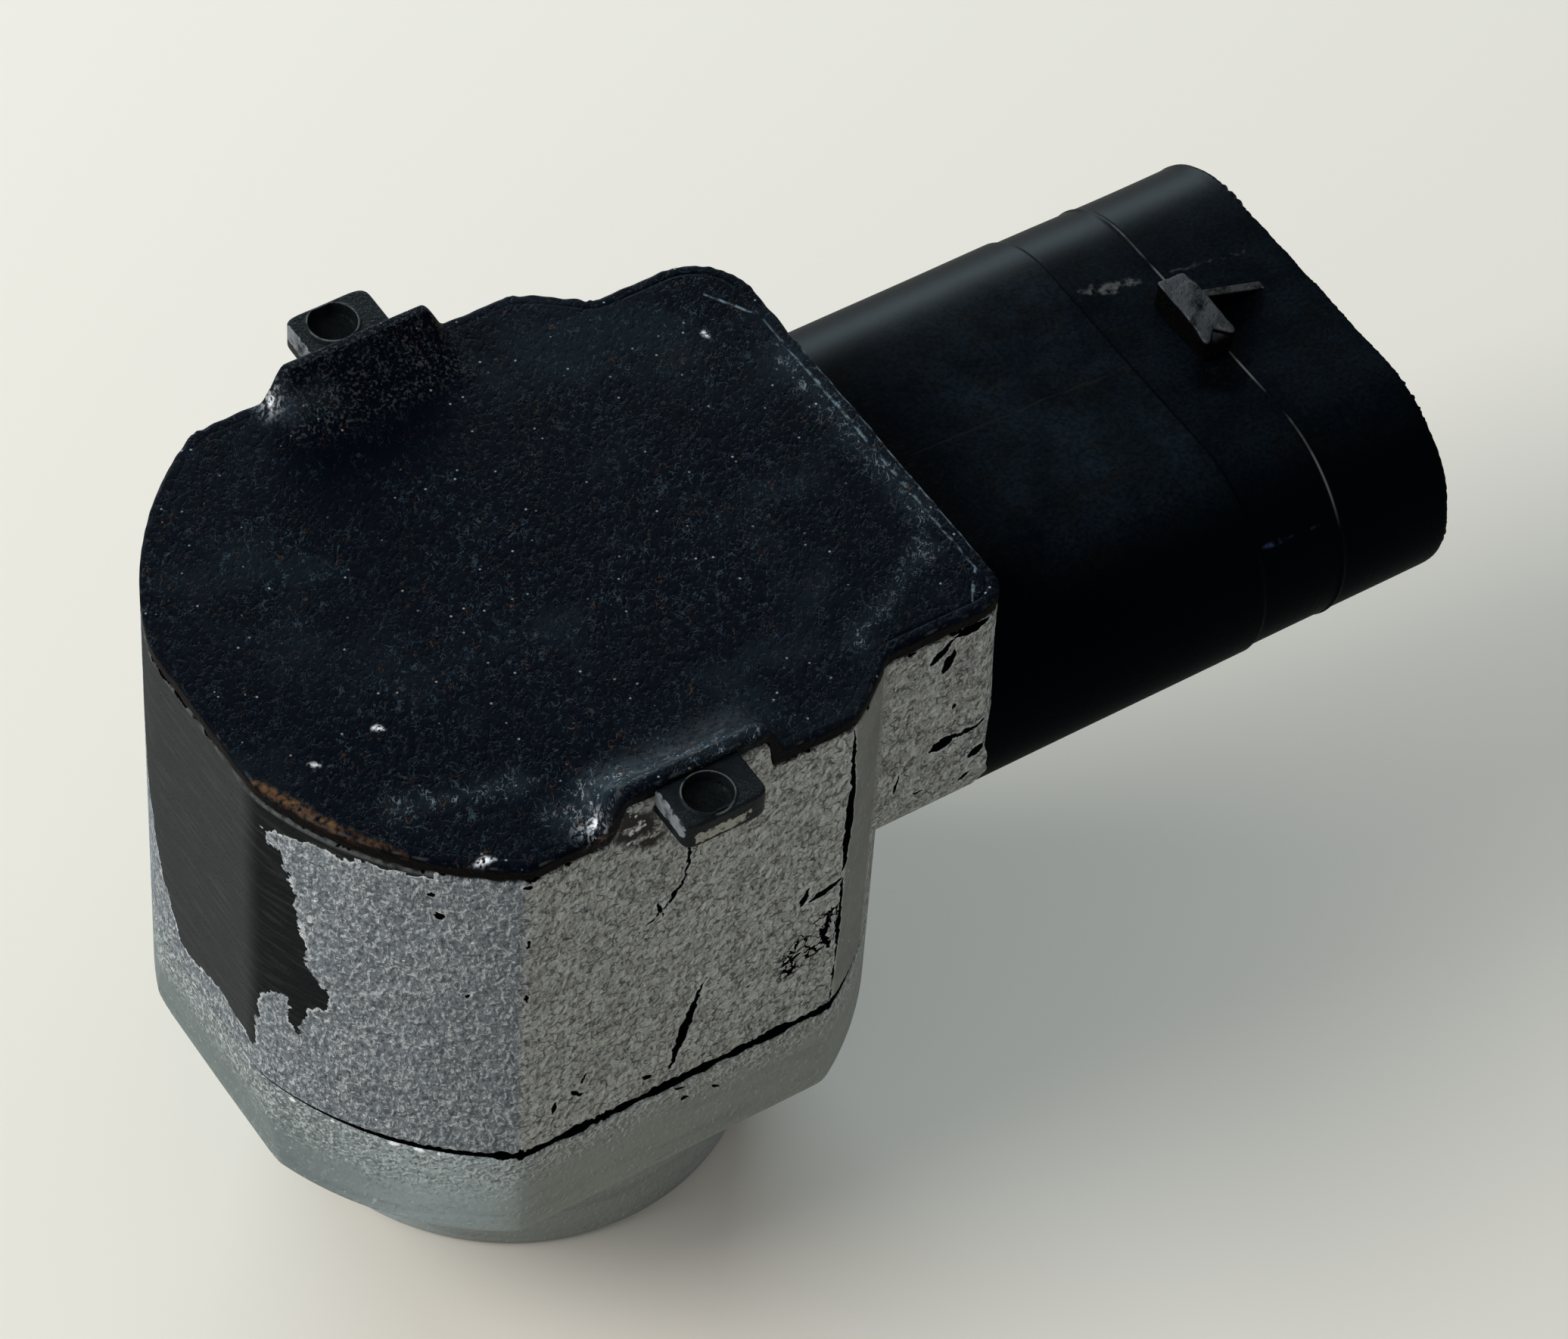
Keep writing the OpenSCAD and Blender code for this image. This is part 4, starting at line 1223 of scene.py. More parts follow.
@dataclass
class BodyWall:
    """Painted wall of the housing between the joint line and the cover."""

    plan: BodyPlan = field(default_factory=BodyPlan)
    lip: Lip = field(default_factory=Lip)
    rear_z: float = 29.2
    seam_z: float = 28.56
    joint: JointGroove = field(default_factory=JointGroove)
    wall: float = 1.3
    edge_r: float = 0.12
    top_gap: float = 0.09
    top_least: float = 0.03
    top_rag: float = 0.045
    top_wave: float = 0.03
    low_rag: float = 0.03
    split_x: float = -6.6
    around: int = 1000
    peeled: tuple[tuple[float, float], ...] = (
        (11.5, 29.2), (11.0, 28.45), (8.6, 28.1), (6.4, 27.75), (4.7, 27.5), (4.0, 27.1), (4.3, 26.3),
        (5.0, 26.6), (5.4, 24.6), (5.9, 22.3), (6.2, 20.6), (7.0, 19.5), (6.9, 18.4), (6.0, 18.0),
        (5.7, 16.2), (5.2, 16.6), (5.1, 18.0), (3.8, 17.2), (3.3, 13.3), (0.8, 14.0), (-0.8, 13.5),
        (-2.0, 13.3), (-2.6, 14.6), (-3.4, 16.2), (-4.4, 18.5), (-5.6, 20.0), (-6.2, 24.0), (-6.0, 29.2),
    )

    def build(self) -> bpy.types.Object:
        """Closed ring: up the outside, over the top edge and down the inside.

        The kept mark is the distance from the peeled label area, measured on the unrolled wall, where the
        first coordinate runs from the label's middle towards the near side. Faces on the connector's side of
        the split take the second finish.

        Returns:
            The wall.
        """
        line = self.plan.outline(self.around, False)
        seam = self.lip.seam(line.points, self.seam_z, self.rear_z)
        worn = self.top_gap + self.top_rag * ripple(line.turn, 11, 30, 240)
        worn = worn + self.top_wave * ripple(line.turn, 12, 4, 20)
        top = seam - np.maximum(worn, self.top_least)
        groove = self.joint.half(line)
        rag = self.low_rag * ripple(line.turn, 14, 60, 300)
        low = self.joint.z + groove + rag * step(groove, 0.05, 0.15)
        foot = low + self.edge_r
        profile = [(inset, low + lift) for inset, lift in quarter(self.edge_r, (0.0, 0.5, 1.0))]
        profile += [(0.0, foot + (top - self.edge_r - foot) * t) for t in np.linspace(0.0, 1.0, 72)]
        profile += [(inset, top - drop) for drop, inset in quarter(self.edge_r, (0.5, 1.0, 1.57))]
        profile += [(0.5, top), (0.6, np.minimum(top, self.seam_z) - 0.4)]
        profile += [(self.wall, self.seam_z - 0.6), (self.wall, low)]
        grid = np.stack([ring(line.inset(inset), z) for inset, z in profile])
        made = grid_object("body_wall", grid, Ends.LOOP, {"kept": self._kept(grid)})
        faces = made.data.polygons
        centres = np.empty(3 * len(faces))
        faces.foreach_get("center", centres)
        faces.foreach_set("material_index", (centres[::3] > self.split_x * MM).astype(np.int32))
        return made

    def _kept(self, grid: Array) -> Array:
        """Distance of each point from the peeled area.

        Args:
            grid: points of the wall.

        Returns:
            Distances, negative inside the peeled area.
        """
        x, y, z = grid[..., 0], grid[..., 1], grid[..., 2]
        half = math.sqrt(self.plan.radius**2 - self.plan.label**2)
        turned = np.arctan2(np.abs(y), -x) - math.atan2(half, self.plan.label)
        out = np.where(np.abs(y) < half, np.abs(y), half + self.plan.radius * turned)
        return polygon_distance(np.where(y > 0.0, -out, out), z, self.peeled)


@dataclass
class FrontCollar:
    """Lower body section with the nose sleeve."""

    plan: BodyPlan = field(default_factory=BodyPlan)
    joint: JointGroove = field(default_factory=JointGroove)
    under_z: float = 6.75
    lean: float = 0.35
    lean_z: float = 10.7
    bow: float = 0.02
    bow_half: float = 3.7
    nose_r: float = 9.6
    bore_r: float = 8.6
    bore_z: float = 4.0
    edge_r: float = 0.4
    root_r: float = 0.3
    under_r: float = 0.5
    top_r: float = 0.1
    top_rag: float = 0.03
    tongue: float = 0.5
    tongue_h: float = 0.7
    around: int = 900

    def build(self) -> bpy.types.Object:
        """Closed ring: out under the nose, up its side, out under the collar, up the wall and down the bore.

        Rows on the nose are circles, rows on the collar are insets of the outline, and the label side is
        held behind a plane that leans in towards the bottom.

        Returns:
            The collar.
        """
        line = self.plan.outline(self.around, False)
        way = unit(line.points)
        turns = np.radians(np.linspace(0.0, 90.0, 8))
        nose = [(self.bore_r, 0.1), (self.bore_r + 0.1, 0.0)]
        nose += [(self.nose_r - inset, lift) for inset, lift in quarter(self.edge_r, turns)]
        nose += [(self.nose_r, z) for z in np.linspace(0.6, self.under_z - self.root_r, 14)]
        nose += [(self.nose_r + out, self.under_z - drop) for drop, out in quarter(self.root_r, turns[1:])]
        rows = [ring(way * radius, z) for radius, z in nose]
        root = way * (self.nose_r + self.root_r)
        rim = self._held(line.inset(self.under_r + 0.02), self.under_z)
        rows += [ring(root * (1.0 - share) + rim * share, self.under_z) for share in (0.2, 0.6, 0.9, 1.0)]
        groove = self.joint.half(line)
        rag = self.top_rag * np.abs(ripple(line.turn, 31, 50, 260))
        top = self.joint.z - groove - rag * step(groove, 0.05, 0.15)
        foot = self.under_z + self.under_r
        side = [(inset, self.under_z + lift) for inset, lift in quarter(self.under_r, turns[1:])]
        side += [(0.0, foot + (top - self.top_r - foot) * share) for share in np.linspace(0.02, 1.0, 26)]
        rows += [ring(self._held(line.inset(inset), z), z) for inset, z in side]
        for drop, inset in quarter(self.top_r, turns[2::2]):
            rows.append(ring(self._held(line.inset(inset), top), top - drop))
        painted = len(rows) - 1
        rise = self.joint.z + self.tongue_h
        rows += [ring(line.inset(self.tongue), top), ring(line.inset(self.tongue), rise)]
        rows += [ring(way * self.bore_r, rise), ring(way * self.bore_r, self.bore_z)]
        kept = np.where(np.arange(len(rows)) < painted, 1.0, -1.0)[:, None]
        return grid_object("front_collar_skin", np.stack(rows), Ends.LOOP, {"kept": kept})

    def _held(self, plan: Array, z: Union[float, Array]) -> Array:
        """Points held behind the leaning label plane.

        Args:
            plan: points in plan.
            z: their heights.

        Returns:
            The points, with x no less than the plane's.
        """
        lean = self.lean * np.clip((self.lean_z - np.asarray(z)) / (self.lean_z - self.under_z), 0.0, 1.2)
        bow = self.bow * np.abs(plan[:, 1]) / self.bow_half
        x = np.maximum(plan[:, 0], -(self.plan.label - lean) + bow)
        return np.stack([x, plan[:, 1]], -1)


@dataclass
class ConnectorBlock:
    """Painted block between the body and the shroud, down to the shroud's root."""

    half_y: float = 10.2
    top_y: float = 10.1
    end_x: float = 15.0
    start_x: float = 4.0
    straight_x: float = 12.0
    socket_z: float = 20.5
    oval_r: float = 5.1
    top_z: float = 28.46
    near_r: float = 1.4
    far_r: float = 2.6
    root_r: float = 0.06
    coat: float = 0.04
    end_gap: float = 0.02
    end_rag: float = 0.05
    end_back: float = 0.47
    swell: float = 0.14
    swell_up: float = 1.8
    swell_w: float = 2.4
    bare: float = 0.25
    paint_on: float = 1.2

    def build(self) -> bpy.types.Object:
        """Section carried along X, with an end that rounds over by a radius that changes round the section.

        At the end, the inset grows as one less the cosine and the place as the sine of a quarter turn.

        Returns:
            The block.
        """
        section = self._section()
        y, z = section[:, 0], section[:, 1]
        ahead = unit(np.roll(section, -1, 0) - np.roll(section, 1, 0))
        inward = np.stack([-ahead[:, 1], ahead[:, 0]], -1)
        lid = np.abs(z - self.top_z) < 1e-6
        inward[lid] = np.stack([-y[lid] / self.top_y, np.full(lid.sum(), -0.1)], -1)
        upper = step(z, self.socket_z - 1.5, self.socket_z + 2.0)
        corner = self.root_r + upper * (np.where(y < 0.0, self.near_r, self.far_r) - self.root_r)
        loop = np.linspace(0.0, 1.0, len(y), endpoint=False)
        rag = self.end_rag * ripple(loop, 41, 5, 60) - self.end_back
        end = self.end_x - self.end_gap + rag * (1.0 - upper)
        end = end + self.swell * bell(z, self.socket_z + self.swell_up, self.swell_w)
        tail = end - corner - self.straight_x
        profile = [(0.0, x) for x in np.linspace(self.start_x, self.straight_x, 30)]
        profile += [(0.0, self.straight_x + tail * t) for t in np.linspace(0.05, 1.0, 20)]
        turns = np.radians(np.linspace(0.0, 90.0, 12))[1:]
        profile += [(inset, end - back) for back, inset in quarter(corner, turns)]
        rows = [self._row(section + inward * np.reshape(inset, (-1, 1)), x) for inset, x in profile]
        middle = np.array([0.0, self.socket_z + 1.0])
        last = section + inward * corner[:, None]
        rows += [self._row(middle + (last - middle) * s, end) for s in (0.8, 0.4)]
        grid = np.stack(rows)
        kept = self.end_x - self.bare + self.paint_on * (1.0 - upper) - grid[..., 0]
        return grid_object("connector_block", grid, Ends.POLES, {"kept": kept})

    def _section(self) -> Array:
        """Section up the far side, over the top, down the near side and round the oval's lower half.

        Returns:
            Points in y and z.
        """
        centre = self.half_y - self.oval_r
        r = self.oval_r + self.coat
        turn = np.linspace(0.0, np.pi / 2.0, 60)
        up = np.linspace(0.0, 1.0, 70)
        z_side = self.socket_z + (self.top_z - self.socket_z) * up
        y_side = self.half_y + self.coat + (self.top_y - self.half_y - self.coat) * up
        across = np.linspace(self.top_y, -self.top_y, 120)[1:-1]
        bottom = np.linspace(-centre, centre, 60)[1:-1]
        runs = (
            (y_side, z_side),
            (across, np.full(len(across), self.top_z)),
            (-y_side[::-1], z_side[::-1]),
            (-centre - r * np.cos(turn[1:]), self.socket_z - r * np.sin(turn[1:])),
            (bottom, np.full(len(bottom), self.socket_z - r)),
            (centre + r * np.sin(turn[:-1]), self.socket_z - r * np.cos(turn[:-1])),
        )
        return np.concatenate([np.stack(run, -1) for run in runs])

    @staticmethod
    def _row(section: Array, x: Union[float, Array]) -> Array:
        """Section set at x."""
        return np.concatenate([np.broadcast_to(x, len(section))[:, None], section], -1)


@dataclass
class ConnectorShroud:
    """Oval black shroud with a slimmer end, a moulding ridge, a burred mouth and the socket."""

    half_y: float = 10.2
    half_z: float = 5.1
    socket_z: float = 20.5
    step_x: float = 27.3
    step_d: float = 0.1
    ridge_x: float = 31.0
    ridge_h: float = 0.06
    ridge_w: float = 0.1
    mouth_x: float = 36.3
    wall: float = 1.3
    floor_x: float = 19.8
    floor_r: float = 0.3
    root_in: float = 0.6
    burr: float = 0.02
    burr_torn: float = 0.07
    burr_wave: float = 0.04
    mouth_back: float = 0.44
    mouth_r: float = 0.3
    unevenness: float = 0.02
    around: int = 560
    stations: tuple[tuple[float, float, int], ...] = (
        (9.0, 27.0, 46), (27.1, 27.6, 11), (27.8, 30.6, 12), (30.7, 31.3, 19), (31.5, 35.7, 18),
    )

    def build(self) -> bpy.types.Object:
        """Oval carried along X: out along the skin, round the burred mouth and back to the socket's floor.

        The inset along X is the step at the slim end less a bell curve for the ridge. The mouth is a half
        circle whose place shakes with a seeded ripple.

        Returns:
            The shroud.
        """
        turn = np.linspace(0.0, 1.0, self.around, endpoint=False)
        oval, normal = self._oval(turn)
        torn = step(ripple(turn, 53, 2, 9), 0.2, 1.2)
        burr = (self.burr + self.burr_torn * torn) * ripple(turn, 51, 40, 270)
        burr = np.clip(burr + self.burr_wave * ripple(turn, 52, 4, 30), -0.2, 0.14)
        along = np.concatenate([np.linspace(*part) for part in self.stations])
        slim = self.step_d * step(along, self.step_x - 0.1, self.step_x + 0.12)
        insets = slim - self.ridge_h * bell(along, self.ridge_x, self.ridge_w)
        rows = [self._row(oval - self.root_in * normal, along[0])]
        for inset, x in zip(insets, along):
            row = self._row(oval - inset * normal, x)
            row[:, 1:] += self.unevenness * lumps(row, 57, 9.0)[:, None] * normal
            rows.append(row)
        for t in np.radians(np.linspace(0.0, 180.0, 13)):
            inset = self.step_d + self.wall / 2.0 * (1.0 - math.cos(t))
            end = self.mouth_x - self.mouth_back + self.mouth_r * math.sin(t) ** 0.5
            rows.append(self._row(oval - inset * normal, end + burr * math.sin(t)))
        inner = self.wall + self.step_d
        floor = self.floor_x + self.floor_r
        rows += [self._row(oval - inner * normal, x) for x in np.linspace(35.6, floor, 30)]
        rows += [self._row(oval * s - (inner + self.floor_r) * normal, self.floor_x) for s in (1.0, 0.9)]
        return grid_object("connector_shroud", np.stack(rows), Ends.POLES)

    def _oval(self, turn: Array) -> tuple[Array, Array]:
        """Oval of two half circles and two straights, walked at even speed.

        Args:
            turn: place along the oval, from 0 to 1.

        Returns:
            Points in y and z about the socket's centre, and outward normals.
        """
        flat = 2.0 * (self.half_y - self.half_z)
        arc = math.pi * self.half_z
        s = turn * (2.0 * flat + 2.0 * arc)
        right = np.clip(s / arc, 0.0, 1.0) * math.pi - math.pi / 2.0
        top = np.clip(s - arc, 0.0, flat)
        left = np.clip((s - arc - flat) / arc, 0.0, 1.0) * math.pi
        low = np.clip(s - 2.0 * arc - flat, 0.0, flat)
        angle = right + left
        centre = flat / 2.0 - top + low
        normal = np.stack([np.cos(angle), np.sin(angle)], -1)
        return np.stack([centre, 0.0 * centre], -1) + self.half_z * normal, normal

    def _row(self, oval: Array, x: Union[float, Array]) -> Array:
        """Oval set at x and at the socket's height."""
        return np.concatenate([np.broadcast_to(x, len(oval))[:, None], oval + [0.0, self.socket_z]], -1)


@dataclass
class LatchNub:
    """Worn latch nub on the shroud with the thin gusset behind it."""

    centre_x: float = 30.5
    foot_z: float = 25.3
    size: Point = (1.4, 3.5, 1.6)
    squareness: float = 0.22
    wear: float = 0.03
    hollow: float = 0.55
    droop: float = 0.18
    gusset: Point = (3.7, 0.42, 1.5)
    gusset_at: tuple[float, float] = (0.3, 0.55)
    gusset_squareness: float = 0.25
    taper: float = 0.94

    def build(self) -> list[bpy.types.Object]:
        """Rounded box for the nub and a rounded wedge for the gusset.

        Both start from a ball of unit radius whose coordinates are raised to a small power, which squares
        it up. The nub's near end is hollowed by a chevron, and the wedge's height falls along X.

        Returns:
            The nub and the gusset.
        """
        ball = self._squared(96, 64, self.squareness)
        x, y, z = np.moveaxis(ball, -1, 0)
        half = np.array(self.size) / 2.0
        nub = ball * half + [self.centre_x, 0.0, self.foot_z + half[2]]
        nub += self.wear * lumps(nub, 61, 0.9)[..., None] * ball
        near = step(-y, 0.55, 1.0) * step(z, -0.2, 0.7)
        nub[..., 1] += self.hollow * near * bell(x, 0.0, 0.45)
        nub[..., 2] -= self.droop * step(-y, 0.2, 1.0) * step(z, 0.2, 0.9)
        x, y, z = np.moveaxis(self._squared(64, 40, self.gusset_squareness), -1, 0)
        length, thick, high = self.gusset
        fin = np.stack([
            self.centre_x + self.gusset_at[0] + (x + 1.0) * length / 2.0,
            self.gusset_at[1] + y * thick / 2.0,
            self.foot_z + (z + 1.0) / 2.0 * high * (1.0 - self.taper * (x + 1.0) / 2.0),
        ], -1)
        return [grid_object("latch_nub", nub, Ends.POLES), grid_object("latch_gusset", fin, Ends.POLES)]

    @staticmethod
    def _squared(around: int, rows: int, power: float) -> Array:
        """Unit ball with its coordinates raised to a power, without their signs.

        Args:
            around: points in a row.
            rows: number of rows.
            power: exponent; 1 is a ball and next to nothing a box.

        Returns:
            Points shaped rows by around by 3.
        """
        a = np.linspace(-np.pi, np.pi, around, endpoint=False)[None, :]
        b = np.linspace(-np.pi / 2.0, np.pi / 2.0, rows + 2)[1:-1, None]
        raw = np.stack([np.cos(b) * np.cos(a), np.cos(b) * np.sin(a), np.sin(b) + 0.0 * a], -1)
        return np.sign(raw) * np.abs(raw) ** power


@dataclass
class SideLug:
    """Lug on one side flat with its shallow round mark."""

    side: float = -1.0
    half_x: float = 1.75
    inner: float = 11.4
    outer: float = 14.1
    mark_x: float = -0.2
    mark_y: float = 13.05
    top_z: float = 30.45
    thick: float = 1.25
    edge_r: float = 0.13
    mark_r: float = 0.93
    rim: float = 0.08
    rim_h: float = 0.07
    mark_d: float = 0.5
    around: int = 240

    def build(self) -> bpy.types.Object:
        """Plate whose rows run from a rounded rectangle to the round mark.

        Rows are polar about the mark's centre. The rectangle is the smooth least of its four sides by a
        sum of high powers, and the top's rows blend from it to the rim's circle.

        Returns:
            The lug.
        """
        angle = np.linspace(-np.pi, np.pi, self.around, endpoint=False)
        c, s = np.cos(angle), np.sin(angle)
        out = np.where(s > 0.0, self.outer - self.mark_y, self.mark_y - self.inner)
        power = np.where(s > 0.0, 6.5, 40.0)
        wide = np.where(c > 0.0, self.half_x - self.mark_x, self.half_x + self.mark_x)
        plate = ((np.abs(c) / wide) ** power + (np.abs(s) / out) ** power) ** (-1.0 / power)
        top, low = self.top_z, self.top_z - self.thick
        deep, crest = top - self.mark_d, top + self.rim_h
        profile = [(plate * k, low) for k in (0.2, 0.6)]
        turns = np.radians(np.linspace(0.0, 90.0, 5))
        profile += [(plate - inset, low + lift) for inset, lift in quarter(self.edge_r, turns)]
        profile += [(plate, z) for z in np.linspace(low + 0.2, top - 0.2, 8)]
        turns = np.radians(np.linspace(0.0, 90.0, 6))
        profile += [(plate - inset, top - drop) for drop, inset in quarter(self.edge_r, turns)]
        flat = plate - self.edge_r
        circle = np.minimum(self.mark_r + self.rim + 0.04, flat - 0.01)
        profile += [(flat + (circle - flat) * t, top) for t in (0.3, 0.6, 0.85, 1.0)]
        crown = np.minimum(self.mark_r + self.rim, flat - 0.02)
        mark = np.minimum(self.mark_r, flat - 0.1)
        profile += [(crown, top + self.rim_h * 0.7), (crown - 0.04, crest)]
        profile += [(mark + 0.02, crest), (mark, top + self.rim_h * 0.5)]
        profile += [(mark - 0.02, deep + 0.12), (mark - 0.12, deep), (mark * 0.4, deep + 0.02)]
        rows = [ring(self._plan(radius, c, s), z) for radius, z in profile]
        return grid_object("near_lug" if self.side < 0.0 else "far_lug", np.stack(rows), Ends.POLES)

    def _plan(self, radius: Array, c: Array, s: Array) -> Array:
        """Points at polar radii about the mark's centre, on this lug's side."""
        return np.stack([self.mark_x + radius * c, self.side * (self.mark_y + radius * s)], -1)


def scars(*rows: Sequence[float]) -> tuple[Scar, ...]:
    """Marks from rows of x, y, z of both ends and the half width."""
    return tuple(Scar(tuple(row[:3]), tuple(row[3:6]), row[6]) for row in rows)


def upright_scars(y: float, *rows: Sequence[float]) -> tuple[Scar, ...]:
    """Marks at one y, from rows of x and z of both ends and the half width."""
    return scars(*((a, y, b, c, y, d, width) for a, b, c, d, width in rows))


def level_scars(z: float, *rows: Sequence[float]) -> tuple[Scar, ...]:
    """Marks at one z, from rows of x and y of both ends and the half width."""
    return scars(*((a, b, z, c, d, z, width) for a, b, c, d, width in rows))


FLAT_Y, UPPER_Y, LOWER_Y = -12.0, -10.15, -10.2
SHROUD_Z = 25.6
SHADE = (0.0010, 0.0011, 0.0013)
LABEL_SCARS = scars(
    (-9.5, -10.0, 26.3, -9.3, -10.2, 26.0, 0.24),
    (-9.66, -9.86, 27.4, -9.6, -9.9, 27.2, 0.15),
    (-8.63, -10.77, 21.8, -8.6, -10.8, 21.6, 0.1),
    (-7.05, -11.9, 28.1, -6.7, FLAT_Y, 28.2, 0.14),
    (-6.85, -11.98, 25.0, -6.85, -11.98, 24.3, 0.08),
    (-6.85, -11.98, 22.0, -6.85, -11.98, 21.3, 0.08),
)
CREASE_SCARS = scars(
    (6.9, -11.95, 28.3, 7.1, -11.85, 24.2, 0.15),
    (7.15, -11.8, 25.6, 6.95, -11.9, 20.2, 0.3),
    (6.95, -11.92, 19.9, 6.9, -11.95, 14.6, 0.13),
    (6.9, -11.95, 15.2, 6.8, -11.98, 12.2, 0.07),
)
FLAT_SCARS = upright_scars(
    FLAT_Y,
    (-0.1, 26.6, -0.2, 24.3, 0.09),
    (-0.15, 24.6, -1.1, 23.1, 0.11),
    (-0.9, 23.4, -2.3, 22.2, 0.07),
    (-1.35, 23.9, -1.1, 22.7, 0.09),
    (1.0, 17.8, 0.2, 15.4, 0.06),
    (0.7, 17.0, -0.45, 13.0, 0.22),
    (-1.6, 13.2, -1.2, 13.0, 0.12),
    (6.95, 19.7, 5.4, 19.3, 0.2),
    (5.35, 20.1, 5.0, 19.2, 0.15),
    (6.5, 18.2, 6.1, 16.2, 0.12),
    (6.0, 17.3, 6.6, 15.6, 0.12),
    (5.2, 16.3, 4.4, 16.0, 0.11),
    (3.4, 16.4, 2.9, 15.7, 0.06),
    (-4.8, 14.6, -4.3, 14.0, 0.12),
    (-5.4, 14.4, -5.6, 13.8, 0.12),
    (-4.0, 15.4, -4.5, 14.7, 0.07),
)
FLAT_SOIL = upright_scars(FLAT_Y, (-2.9, 29.6, -2.1, 28.0, 0.7), (-2.1, 28.8, -1.7, 27.4, 0.45))
COLLAR_CHIPS = upright_scars(
    FLAT_Y, (0.2, 10.7, 0.5, 10.5, 0.12), (1.6, 10.5, 1.9, 10.2, 0.11), (-0.2, 11.5, 0.3, 11.2, 0.09)
)
COLLAR_GLINTS = scars(
    (-12.85, -5.1, 11.72, -12.7, -5.4, 11.72, 0.1),
    (-12.05, -6.8, 11.7, -11.95, -7.0, 11.7, 0.07),
    (-11.25, -8.05, 11.7, -11.15, -8.2, 11.7, 0.07),
    (-9.4, -10.15, 11.68, -9.3, -10.25, 11.68, 0.07),
    (-10.7, -8.75, 11.68, -10.4, -9.1, 11.68, 0.09),
    (-10.0, -9.5, 11.7, -9.75, -9.8, 11.66, 0.1),
)
COVER_RUBS = scars(
    (14.1, 4.0, 29.2, 14.3, -5.0, 29.2, -0.25),
    (13.4, -6.6, 29.2, 9.0, -8.8, 29.2, -0.5),
    (-4.4, -10.6, 29.2, -1.0, -11.0, 29.7, 0.7),
    (-1.4, -11.0, 29.7, 2.4, -11.4, 30.5, 0.35),
    (-3.4, 11.2, 29.3, -2.0, 10.7, 29.4, 0.1),
    (-9.4, -7.2, 29.2, -5.2, -8.4, 29.2, -0.4),
)
COVER_DIRT = scars(
    (-13.2, -3.6, 29.1, -11.6, -7.3, 29.1, 0.16),
    (-12.0, -6.6, 29.1, -10.2, -9.1, 29.0, 0.08),
    (-4.2, -12.0, 28.9, -3.7, -12.0, 29.1, 0.1),
)
COVER_SCRATCHES = scars(
    (13.2, 8.2, 29.2, 14.35, 6.4, 29.2, 0.03),
    (14.46, 7.0, 29.2, 14.48, -8.4, 29.2, 0.04),
    (14.48, -8.3, 29.2, 13.5, -9.55, 29.2, 0.03),
    (14.9, 5.0, 29.12, 14.92, -8.4, 29.12, 0.05),
    (-13.1, -4.2, 29.0, -13.1, 3.0, 29.0, 0.03),
)
COVER_GLOWS = scars(
    (-4.15, -11.5, 29.2, -3.7, -11.35, 29.3, 0.1),
    (-3.8, 11.5, 29.3, -3.5, 11.7, 29.6, 0.13),
)
COVER_GLINTS = scars(
    (-8.35, -10.75, 29.1, -7.75, -10.85, 29.15, 0.16),
    (-8.3, -3.65, 29.2, -8.05, -3.85, 29.2, 0.12),
    (-11.1, -3.9, 29.2, -10.9, -4.1, 29.2, 0.05),
    (12.1, 6.6, 29.2, 12.2, 6.3, 29.2, 0.06),
)
BLOCK_UPPER_SCARS = upright_scars(
    UPPER_Y,
    (12.4, 28.2, 11.5, 27.3, 0.2),
    (12.5, 27.5, 12.0, 26.5, 0.26),
    (12.6, 24.4, 12.8, 24.3, 0.12),
    (14.2, 28.4, 12.4, 28.3, 0.2),
)
BLOCK_LOWER_SCARS = upright_scars(
    LOWER_Y,
    (11.8, 22.2, 12.8, 22.5, 0.33),
    (12.5, 22.4, 14.5, 22.5, 0.11),
    (13.45, 20.7, 14.25, 21.15, 0.2),
    (13.3, 19.5, 13.7, 19.9, 0.17),
    (10.4, 21.6, 10.2, 20.4, 0.09),
    (11.1, 20.2, 11.5, 20.0, 0.1),
)
SHROUD_LINES = level_scars(
    SHROUD_Z,
    (17.6, 0.05, 24.5, -0.2, 0.07),
    (24.3, -0.25, 26.4, -0.35, 0.12),
    (26.3, -0.3, 29.0, -0.25, 0.07),
)
# Painted sky reflection along the near side's upper bend of the shroud.
SHROUD_SKY_REFLECTIONS = scars(
    (27.4, -9.2, 23.5, 29.2, -9.3, 23.4, 0.1),
    (29.3, -9.3, 23.4, 30.7, -9.35, 23.3, 0.05),
)
# Painted shadows of the nub and the gusset on the shroud's top.
SHROUD_NUB_SHADOWS = level_scars(SHROUD_Z, (29.2, -2.5, 31.1, -2.4, 0.95), (31.2, -0.3, 33.6, -0.1, 0.6))
SHROUD_RUBS = (
    *level_scars(SHROUD_Z, (27.8, 3.75, 30.2, 3.1, 0.28)),
    *level_scars(SHROUD_Z - 0.1, (31.5, 2.9, 34.6, 2.3, 0.04)),
)


